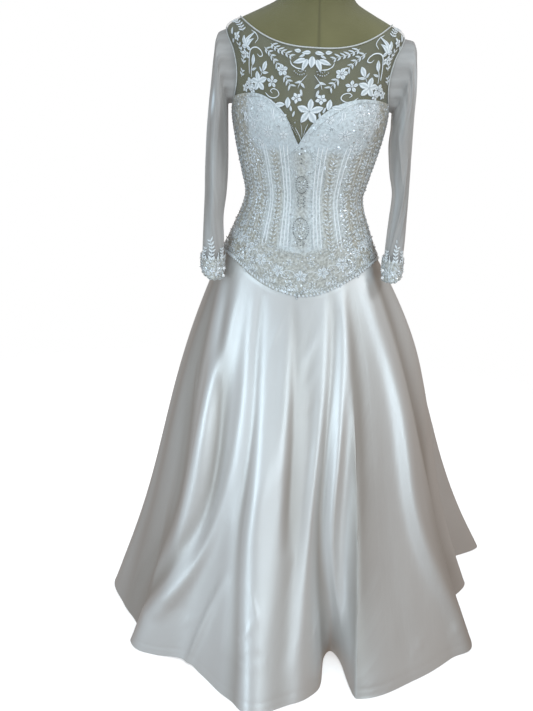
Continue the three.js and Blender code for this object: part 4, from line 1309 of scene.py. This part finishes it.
def embroider_bodice():
    """Floss, pearls, crystals, sequins and seed beads on the bodice."""
    floss, beads = Stitches(True), Stitches(True)
    centre, middle_floss = Stitches(False), Stitches(False)
    line = CENTRE_LINE

    def jewelled(at, radius, turn=0.0):
        floss.daisy(at, radius, turn)
        beads.bead(at, CRYSTAL, 0.2)

    # leaves and flowers on the cups
    each(floss.petal, [
        ((21.5, 1245), -84, 21, 11, 1.0, 1.0), ((22.0, 1241), 178, 19, 9, 1.0, 1.0),
        ((22.5, 1247), 60, 16, 8, 1.0, 1.0)])
    each(floss.flower, [
        ((33, 1240), 11, 10), ((47, 1246), 12, 30), ((25.2, 1195), 12, 0), ((41, 1204), 9, 20),
        ((14.5, 1222), 8.5, 20), ((52, 1218), 9.5, 50), ((13, 1190), 8.0, 0),
        ((33.5, 1172), 9.0, 25)])
    each(floss.petal, [
        ((20, 1214), 20, 16, 7), ((40, 1226), 80, 15, 6), ((46, 1192), 10, 16, 6.5),
        ((31, 1212), -30, 15, 6), ((33, 1190), 120, 15, 6)])
    floss.cord([(48, 1236), (45, 1222), (37, 1214), (30, 1216)], 1.5)
    beads.bead_line([(4, 1193), (9.5, 1213), (16, 1231), (24, 1249), (34, 1260), (46, 1260),
                     (58, 1256)], 1.15, 3.4)
    each(jewelled, [((16.5, 1205), 6.5), ((35, 1222), 6.5), ((55, 1232), 8)])

    # the centre column: dark drops, oval medallions and clusters
    for level in (1166, 1156, 1146, 1137):
        centre.bead((line, level), 2.0, 0, 0.25)
    for level, across, up, count in ((1094, 11.5, 17.5, 24), (1004, 15.5, 22.0, 30)):
        centre.bead_ring((line, level), across, up, count, 1.3, 0.25)
        centre.bead_ring((line, level), across * 0.72, up * 0.74, count * 2 // 3, 1.2)
        centre.bead_ring((line, level), across * 0.45, up * 0.5, count // 3, 1.2, 0.3)
        middle_floss.daisy((line, level), 7.5)
        centre.bead((line, level), 2.0, 0.2)
    for level in (1068, 1060, 1052, 975):
        centre.bead_ring((line, level), 7, 4, 8, 1.4, 0.45)
    each(jewelled, [((8.8, 1031), 7.5), ((5.5, 1118), 6.0)])
    each(beads.bead_line, [
        ([(2, 1170), (9, 1153), (13.6, 1144), (17, 1120), (17.5, 1090)], 1.15, 3.2),
        ([(4, 1160), (10, 1140), (8, 1118)], 1.0, 3.2),
        ([(7.5, 1090), (8.0, 1060), (8.2, 1044)], 1.0, 3.2),
        ([(8.2, 1018), (8.0, 990), (8.4, 962)], 1.0, 3.2)])

    # herringbone columns of petals and beads between the bones
    for d, top, foot in ((22.5, 1174, 962), (38, 1176, 962), (50, 1180, 966), (64, 1186, 970),
                         (79, 1190, 972), (95, 1190, 974), (110, 1200, 974), (125, 1210, 974),
                         (140, 1216, 974), (156, 1220, 974)):
        for level in np.arange(foot, top, HERRINGBONE_STEP):
            for lean in (-1, 1):
                floss.petal((d + 0.35 * lean, level), 50 * lean, 8.0, 3.6, 1.7, 1.0)
            beads.bead((d, level + 3.4), 1.1, 0.6)
    for d, level, radius in (
            (22.3, 1085, 9.0), (24.0, 1122, 7.0), (20.5, 1020, 8.0), (37, 1112, 9.0),
            (38, 1056, 8.0), (51, 1086, 9.0), (50, 1140, 8.0), (64, 1050, 9.0), (66, 1120, 9.0),
            (80, 1084, 9.0), (95, 1130, 9.0), (110, 1070, 9.0), (126, 1130, 9.0),
            (140, 1070, 9.0), (156, 1130, 9.0), (157, 1030, 9.0)):
        jewelled((d, level), radius, d * 7)

    # cords over the bones
    for bone in BONES[:5]:
        floss.cord([(bone, 966), (bone, 1030), (bone, 1100), (bone + 0.4, 1150),
                    (bone + 0.9, 1172)], 2.3, 1.0)
    for bone in BONES[5:]:
        floss.cord([(bone, 972), (bone, 1040), (bone, 1110), (bone, 1160)], 1.5, 0.7)

    # the deep band: flowers, scrolls and a scalloped edge
    for number, d in enumerate(np.arange(0, 172, BAND_STEP)):
        edge = float(bodice_foot(d + CENTRE_LINE))
        if number == 0:
            middle_floss.flower((line, edge + 40), 12.0, 0, 0.9)
            centre.bead_ring((line, edge + 40), 14.5, 14.0, 18, 1.2)
        else:
            floss.flower((d, edge + 40), 11.0 + number % 3, 20 * number, 0.9)
            beads.bead_ring((d, edge + 40), 14.5, 14.0, 18, 1.2)
        middle_d = d + 7.2
        low = float(bodice_foot(middle_d + CENTRE_LINE))
        jewelled((middle_d, low + 20), 8.5, 15 * number)
        jewelled((middle_d, low + 64), 7.5, 40 + 15 * number)
        floss.cord([(middle_d - 5, low + 34), (middle_d - 2, low + 46), (middle_d + 3, low + 46),
                    (middle_d + 5, low + 36), (middle_d + 2, low + 31), (middle_d, low + 36)],
                   1.5)
        floss.vine([(d + 1, edge + 16), (d + 4, low + 9), (d + 10, low + 9), (d + 13, edge + 14)],
                   6.5, 3.2, 6.0, 40, 1.1)
    d = np.linspace(0, BAND_END, 90)
    edge = bodice_foot(d + CENTRE_LINE)
    scallops = 2.2 * np.abs(np.sin(np.radians(d / (BAND_STEP / 2) * 180)))
    for level, radius, spacing in ((edge + 4.0 + scallops, 1.45, 3.2),
                                   (edge + 9.0 + scallops, 1.0, 3.4),
                                   (edge + 78.0, 1.2, 3.4), (edge + 84.0, 1.0, 3.6)):
        beads.bead_line(np.stack([d, level], -1), radius, spacing)
    for d in np.arange(EDGE_STEP / 2, BAND_END, EDGE_STEP):
        edge = float(bodice_foot(d + CENTRE_LINE))
        floss.petal((d, edge + 3), 180, 7.5, 6.0, 1.5, 1.0)
        if int(d / EDGE_STEP) % 2:
            beads.bead((d, edge - 3.0), 1.3, 1.2)
    edge = float(bodice_foot(0))
    for rise, radius in ((4, 2.2), (-0.5, 2.0), (-5, 2.6), (-8, 1.4)):
        centre.bead((0, edge + rise), radius)

    sewn("floss_bodice", [floss, middle_floss], on_bodice, FLOSS)
    sewn("beads_bodice", [beads, centre], on_bodice, BEADS)

    # sequins and seed beads, thick at the sides and in the band
    angle = random.uniform(-180, 180, SPECKS)
    side = np.abs(angle)
    level = mix(bodice_foot(angle) + 3, bodice_top(angle) - 3, random.uniform(0, 1, SPECKS))
    cup = smooth((level - 1140) / 30) * smooth((34 - side) / 8) * smooth((side - 3) / 3)
    bone = smooth((1130 - level) / 20) * (
        bell(side - 15, 2.4) + bell(side - 10, 2.4) + bell(side - 29.5, 2.6))
    band = smooth((bodice_foot(angle) + 92 - level) / 12)
    thick = np.clip(0.22 + 0.6 * smooth((side - 26) / 16) + 0.35 * band - 0.18 * cup - 0.4 * bone,
                    0.03, 1)
    kept = random.uniform(0, 1, SPECKS) < thick
    places = np.stack([angle, level], -1)[kept]
    share = random.uniform(0, 1, len(places))
    discs, seeds = Stitches(False), Stitches(False)
    flat, round_ones = places[share < SEQUIN_SHARE], places[share >= SEQUIN_SHARE]
    discs.sequins(flat, random.uniform(1.2, 2.1, len(flat)))
    seeds.beads(round_ones, random.uniform(0.6, 1.05, len(round_ones)), 0.0, 5)
    sewn("sequins_bodice", [discs], on_bodice, SEQUINS)
    sewn("seed_beads_bodice", [seeds], on_bodice, BEADS)


CUFF_LENGTH = 42.0
CUFF_SEQUINS = 240


class CuffStitches(Stitches):
    """A chart of a turn round the cuff and a share of its length; below 0 is up the sleeve."""

    def scale(self, at):
        return np.broadcast_to(np.array([0.40, -CUFF_LENGTH]), at.shape)


def embroider_cuffs():
    """Flowers, beads and sequins round each cuff, and the vines that climb from it."""
    for side, sign in SIDES:
        def on_cuff(turn, share, height, side=side, sign=sign):
            point = cuff_point(side, sign, np.radians(turn), np.clip(share, 0, 1),
                               SEAM_GAP + NET_THICK / 2 + 0.5 + height)
            point[..., 2] += cuff_edge(np.radians(turn), share)
            above = np.maximum(-share, 0) * CUFF_LENGTH
            return point + above[..., None] * np.array([0.02 * sign, 0.316, 0.949])

        beads, floss, discs = CuffStitches(False), CuffStitches(False), CuffStitches(False)
        for k in range(9):
            turn = 40 * k + 14
            floss.flower((turn, 0.5), 6.5, 25 * k, 0.8)
            floss.petal((turn + 20, 0.80), 0, 11, 5.5)
            beads.bead((turn + 20, 0.45), 1.4)
            floss.daisy((turn + 20, 0.26), 5.0, 10 * k)
        for turn in np.arange(0, 360, 20):
            floss.petal((turn, 0.06), 0, 9.0, 5.0)
        around_all = np.arange(0, 360, 7.4)
        for share, radius in ((0.95, 1.3), (0.10, 0.9)):
            beads.beads(np.stack([around_all, np.full_like(around_all, share)], -1), radius)
        each(floss.vine, [
            ([(84, 0.1), (90, -0.45), (80, -0.95)], 9.0, 4.2, 7.5, 40, 1.1),
            ([(40, 0.1), (50, -0.3), (58, -0.6)], 7.5, 3.8, 7.0, 40, 1.0),
            ([(140, 0.1), (141, -0.25), (138, -0.55)], 7.0, 3.8, 6.5, 40, 1.0)])
        floss.cord([(118, 0.9), (119, 0.3), (122, -0.3)], 1.8)
        beads.bead_line([(116, 0.9), (117, 0.3), (120, -0.3)], 0.9, 3.6)
        beads.bead((126, 0.72), 2.8)
        places = np.stack([random.uniform(0, 360, CUFF_SEQUINS),
                           random.uniform(0.04, 0.96, CUFF_SEQUINS)], -1)
        discs.sequins(places, random.uniform(0.9, 1.5, CUFF_SEQUINS))
        sewn(f"floss_cuff_{side}", [floss], on_cuff, FLOSS)
        sewn(f"beads_cuff_{side}", [beads], on_cuff, BEADS)
        sewn(f"sequins_cuff_{side}", [discs], on_cuff, SEQUINS)


def cuff_edge(turn, share):
    """How far the scallops and the open corner lift the cuff's lower edge."""
    scallop = np.abs(np.sin(turn * 6)) ** 0.7
    return (1 - scallop) * 3.0 * share ** 6 + 12 * np.maximum(0, np.cos(turn)) ** 1.5 * share ** 3


def make_buttons():
    """Round pearl buttons with a fine groove, over the plain ones of the frame."""
    v, u = np.meshgrid(np.linspace(0.02, np.pi - 0.02, 17), full_turn(24), indexing="ij")
    ball = np.stack([np.sin(v) * np.cos(u), np.sin(v) * np.sin(u), np.cos(v)], -1)
    ball *= (1 - 0.03 * bell(v - np.pi / 2, 0.08))[..., None]
    for name in [f"{side}_{number}" for side, _ in SIDES for number in (1, 2)]:
        low, high = (np.array(corner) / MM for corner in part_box(f"cuff_button_{name}"))
        grid = (low + high) / 2 + ball * (high - low) / 2
        points, faces = capped(grid, grid[[0, -1]].mean(1), True)
        piece = make_mesh(f"pearl_button_{name}", points, faces, PEARL)
        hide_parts(f"cuff_button_{name}")


# ------------------------------------------------------------------ skirt
FLOOR_CLEAR = 0.8               # how far the hem stays off the floor
# Soft ridges (and troughs, below zero) of the satin: the angle of each at four shares of the way
# down, where it starts and ends, half its width in degrees and its height.
CREASE_STATIONS = np.array([0.05, 0.3, 0.6, 0.9])
CREASES = table(["high", "upper", "lower", "hem", "from", "to", "width", "height"], [
    [-29, -25, -31.5, -51, -0.05, 1.3, 3.6, 10.5],
    [-22.5, -19.5, -21.5, -20.5, -0.05, 1.3, 2.4, -7.5],
    [-52, -37, -39, -60, -0.05, 1.2, 4.4, -9.0],
    [-62, -45, -40, -44, -0.05, 0.85, 5.0, 6.0],
    [-66, -62, -56, -68, -0.05, 1.1, 6.0, -9.0],
    [-10, -12, -14, -14, -0.05, 0.9, 6.0, 4.0],
    [2, -4, -19, -23, -0.05, 0.9, 5.0, 3.0],
    [-1, -1, -2, -4, -0.05, 0.62, 2.3, -4.5],
    [3, 5, 1, -3, 0.02, 1.05, 7.5, -6.0],
    [18, 13, 5.5, 0.5, -0.05, 1.2, 3.0, 5.5],
    [21, 16, 13.4, 14.5, -0.05, 1.2, 2.8, -9.5],
    [28.8, 21.8, 17.4, 23.5, -0.1, 1.2, 2.8, 11.0],
    [30, 30, 29, 30, -0.05, 1.1, 5.0, -11.0],
    [40, 39, 38, 42, -0.05, 0.95, 8.0, -3.0],
    [49, 54.8, 56.3, 68, -0.08, 1.2, 4.0, 13.0],
    [66, 71, 81, 90, -0.05, 1.1, 5.0, -10.0],
    [84, 92, 100, 104, -0.05, 1.0, 4.0, 7.0],
    [112, 116, 118, 122, -0.05, 1.0, 4.0, 7.0],
    [126, 128, 130, 134, -0.05, 1.0, 4.0, -8.0],
    [152, 150, 152, 152, -0.05, 1.0, 3.8, 7.0],
    [172, 174, 172, 170, -0.05, 1.0, 3.6, -6.0],
    [-86, -84, -84, -86, -0.05, 0.95, 3.6, 6.0],
    [-106, -108, -110, -112, -0.05, 1.0, 4.0, -8.0],
    [-132, -134, -136, -134, -0.05, 1.0, 3.8, 8.0],
    [-164, -162, -164, -166, -0.05, 1.0, 4.0, -7.0],
])
# Short creases: angle and share of both ends, half width and height in millimetres.
WRINKLES = table(["a1", "s1", "a2", "s2", "width", "height"], [
    [-24.5, 0.70, -38, 1.04, 11.0, 9.0], [15, 0.07, 1, 0.17, 7.0, 1.2],
    [13, 0.16, 3, 0.235, 7.0, 0.9], [12, 0.24, 3, 0.29, 8.0, -0.8],
    [-7, 0.05, -14, 0.12, 5.0, 1.4], [-20.5, 0.85, -11, 0.77, 5.0, 2.4],
    [-20, 0.88, -9, 0.86, 5.0, -2.0], [-16, 0.70, -10, 0.80, 6.0, 1.6],
    [4, 0.86, 12, 0.80, 5.0, 2.0], [30, 0.55, 27, 0.64, 5.0, 1.2],
    [44, 0.93, 52, 0.90, 5.0, 1.8], [60, 0.95, 68, 0.92, 5.0, 2.0],
    [-40, 0.90, -32, 0.84, 6.0, 2.2], [-52, 0.86, -44, 0.80, 6.0, 1.8],
    [66, 0.3, 72, 0.4, 6.0, 1.4], [-64, 0.25, -58, 0.36, 6.0, 1.4],
    [118, 0.5, 124, 0.6, 8.0, 1.6], [-120, 0.6, -126, 0.7, 8.0, 1.6],
    [150, 0.75, 158, 0.82, 9.0, 2.0], [-150, 0.4, -144, 0.5, 8.0, 1.6],
    [178, 0.6, 170, 0.66, 8.0, 1.6],
])
# Each panel's first and last angle, its flat width, length and area in metres, and its step.
SKIRT_PANELS = {
    "skirt_front": (-38, 38, 0.66, 0.98, 0.40, 0.4),
    "skirt_side_right": (38, 98, 0.56, 1.05, 0.34, 0.4),
    "skirt_side_left": (-98, -38, 0.50, 1.02, 0.305, 0.4),
    "skirt_back_right": (98, 180, 0.95, 1.25, 0.64, 0.6),
    "skirt_back_left": (180, 262, 0.90, 1.20, 0.565, 0.6)}


def crease_height(angle, share):
    """Long creases, lower near the waist."""
    total = np.zeros(np.broadcast(angle, share).shape)
    for high, upper, lower, hem, start, end, width, height in zip(*CREASES.values()):
        along = np.clip((share - start) / (end - start), 0, 1)
        route = through(CREASE_STATIONS, np.array([high, upper, lower, hem]), share)
        off = wrapped(angle - route)
        spread = width * mix(1.4, 1.0, np.minimum(share * 1.6, 1))
        fuller = 0.42 + 0.58 * smooth(share / 0.5)
        total += height * fuller * bell(off, spread) * np.sin(np.pi * along) ** 0.5
    return total


def wrinkle_height(angle, share):
    """Short creases, each between two places."""
    total = np.zeros(np.broadcast(angle, share).shape)
    for a1, s1, a2, s2, width, height in zip(*WRINKLES.values()):
        # about how many millimetres one degree is wide here, and the skirt is long
        wide, tall = mix(2.9, 8.6, (s1 + s2) / 2), 960.0
        way = np.array([(a2 - a1) * wide, (s2 - s1) * tall])
        length = np.hypot(*way)
        across = wrapped(angle - a1) * wide
        down = (share - s1) * tall
        along = (across * way[0] + down * way[1]) / length
        off = (across * way[1] - down * way[0]) / length
        inside = np.clip(along / length, 0, 1)
        total += height * bell(off, width) * np.sin(np.pi * inside) ** 0.8
    return total


def paint_satin_shade(angle, share):
    """How much painted shade the satin gets beyond its troughs: at both sides, and in two patches in
    front.
    """
    left = 0.75 * bell(angle + 74, 14)
    right = 0.75 * bell(angle - 74, 11) * smooth((share - 0.4) / 0.3)
    under_band = 0.32 * bell(angle - 3, 13) * (1 - smooth((share - 0.22) / 0.2))
    hollow = 0.5 * bell(angle + 35.5, 3.5) * bell(share - 0.4, 0.22)
    return left + right + under_band + hollow


def make_skirt():
    """Satin panels with their creases, sewn seams and a stitched hem."""
    # the first two rows lie under the bodice, and the last nine make the hem
    shares = np.concatenate([[-1, -0.5], np.linspace(0, 0.955, 74), np.linspace(0.96, 1, 9)])
    for name, (start, end, width, length, area, step) in SKIRT_PANELS.items():
        columns = int((end - start) / step) + 1
        share, angle = np.meshgrid(shares, np.linspace(start, end, columns), indexing="ij")
        inner = skirt_point(angle, share)
        normal = -surface_normal(skirt_point, angle, share, 0.4, 0.01)
        down = np.maximum(share, 0)
        seam = bell(angle - start, 0.45) + bell(angle - end, 0.45)
        to_hem = lengths_along(inner, 0)
        to_hem = (to_hem[-1:] - to_hem) / MM
        soft = crease_height(angle, down) + wrinkle_height(angle, down)
        sewn_in = 0.05 * seam * smooth(down / 0.03) + 0.5 * bell(to_hem - HEM_TURN, 2.5)
        height = SATIN_THICK / 2 + (soft - sewn_in) * smooth(share / 0.05)
        grid = inner + normal * height[..., None]
        grid[..., 2] = np.maximum(grid[..., 2], FLOOR_CLEAR)
        # painted shade: darker where the creases' troughs are deep, plus painted shade at the sides
        # and in two front patches
        painted_shade = np.maximum(-soft, 0) / mix(3.2, 9, smooth(down / 0.4)) + paint_satin_shade(angle, down)
        piece = cloth(f"satin_{name}", grid, SATIN, name, 1.2, flip=True,
                      values={"painted_shade": np.clip(painted_shade, 0, 1)})


# ------------------------------------------------------------------ scene
FLOOR_REACH = 3.0               # metres from the middle of the floor to each side


def add_to_scene(thing):
    bpy.context.scene.collection.objects.link(thing)


def make_stage():
    mesh = bpy.data.meshes.new("floor")
    corners = np.array([(-1, -1, 0), (1, -1, 0), (1, 1, 0), (-1, 1, 0)]) * FLOOR_REACH
    mesh.from_pydata(corners.tolist(), [], [(0, 1, 2, 3)])
    mesh.materials.append(make_floor())
    floor = bpy.data.objects.new("floor", mesh)
    add_to_scene(floor)
    floor.visible_diffuse = False
    floor.visible_glossy = False


# Each light's place, what it faces, its width and height in metres, its power and its colour.
LIGHTS = {
    "window_left": ((-3.4, -5.2, 1.25), (0, 0, 0.6), (2.2, 3.8), 130, (0.67, 0.865, 1.0)),
    "window_right": ((2.8, -5.4, 1.25), (0, 0, 0.6), (1.6, 3.8), 117, (0.70, 0.88, 1.0)),
    "overhead": ((-0.2, -1.6, 4.4), (0, 0, 1.0), (2.4, 1.6), 20, (0.86, 0.94, 1.0)),
    "lamp_right": ((1.3, -0.9, 2.15), (0.1, 0, 1.45), (0.4, 0.4), 9, (0.88, 0.95, 1.0)),
    "room_back": ((-1.0, 5.8, 1.8), (0, 0, 0.8), (3.0, 2.0), 130, (1.0, 0.97, 0.94))}
WINDOW_SIDE = (-0.80, -0.60, 0.0)       # the way to the middle of the cool side of the room
# Colours of the room's two sides, from straight down (0) to straight up (1).
WARM_SIDE = [(0.0, (0.26, 0.185, 0.13)), (0.44, (0.37, 0.27, 0.20)), (0.58, (0.38, 0.31, 0.25)),
             (0.78, (0.36, 0.355, 0.345)), (1.0, (0.50, 0.54, 0.58))]
COOL_SIDE = [(0.0, (0.60, 0.63, 0.66)), (0.44, (0.72, 0.77, 0.81)), (0.58, (0.46, 0.49, 0.52)),
             (0.78, (0.42, 0.45, 0.48)), (1.0, (0.50, 0.54, 0.58))]
ROOM_STRENGTH = 0.8


def make_lights():
    for name, (place, aim, size, power, colour) in LIGHTS.items():
        data = bpy.data.lights.new(name, "AREA")
        data.shape = "RECTANGLE"
        data.size, data.size_y = size
        data.energy = power
        data.color = colour
        lamp = bpy.data.objects.new(name, data)
        lamp.location = place
        lamp.rotation_euler = (Vector(aim) - Vector(place)).to_track_quat("-Z", "Y").to_euler()
        add_to_scene(lamp)


def make_world():
    """A room that is cool toward the windows and warm and dim behind, before a white backdrop."""
    world = bpy.data.worlds.new("studio")
    w = Nodes(world)
    w.tree.nodes.clear()
    direction = w.node("TexCoord").outputs["Generated"]
    upward = w.node("SeparateXYZ", {0: direction}).outputs["Z"]
    height = w.node("MapRange", {"Value": upward, "From Min": -1}).outputs["Result"]
    toward = w.node("VectorMath", {0: direction, 1: WINDOW_SIDE}, operation="DOT_PRODUCT")
    front = w.node("MapRange", {"Value": toward.outputs["Value"], "From Min": 0.05,
                                "From Max": 0.95}, interpolation_type="SMOOTHSTEP")
    colour = w.blend(front.outputs["Result"], w.ramp(height, WARM_SIDE), w.ramp(height, COOL_SIDE))
    room = w.node("Background", {"Color": colour, "Strength": ROOM_STRENGTH}).outputs[0]
    backdrop = w.node("Background", {"Color": (1, 1, 1, 1)}).outputs[0]
    seen = w.node("LightPath").outputs["Is Camera Ray"]
    both = w.node("MixShader", {0: seen, 1: room, 2: backdrop}).outputs[0]
    w.node("OutputWorld", {"Surface": both})
    bpy.context.scene.world = world


# The photo's camera, as fitted: place in metres, turns in degrees and the lens in millimetres.
CAMERA = {"place": (-0.060, -1.744, 1.25), "down": 17.6, "roll": 3.4, "lens": 40.5, "sensor": 36}


def make_camera():
    data = bpy.data.cameras.new("camera")
    data.lens = CAMERA["lens"]
    data.sensor_width = CAMERA["sensor"]
    camera = bpy.data.objects.new("camera", data)
    camera.matrix_world = (Matrix.Translation(CAMERA["place"])
                           @ Matrix.Rotation(math.radians(90 - CAMERA["down"]), 4, "X")
                           @ Matrix.Rotation(math.radians(CAMERA["roll"]), 4, "Z"))
    add_to_scene(camera)
    bpy.context.scene.camera = camera


def paint_carried_over():
    """Gives the nodes that no piece stands for their materials."""
    finishes = {"form_neck_cap": CAP, "form_base": STEEL, "form_pole": STEEL}
    for name, finish in finishes.items():
        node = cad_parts[name]
        node.data.materials.clear()
        node.data.materials.append(finish)


make_camera()
make_form()
make_bindings()
make_yoke()
make_bodice()
make_plackets()
for sleeve_side, sleeve_sign in SIDES:
    make_sleeve(sleeve_side, sleeve_sign)
    make_cuff(sleeve_side, sleeve_sign)
embroider_yoke()
embroider_bodice()
embroider_cuffs()
make_buttons()
make_skirt()
paint_carried_over()
make_stage()
make_lights()
make_world()
bpy.context.scene.view_settings.view_transform = "Standard"
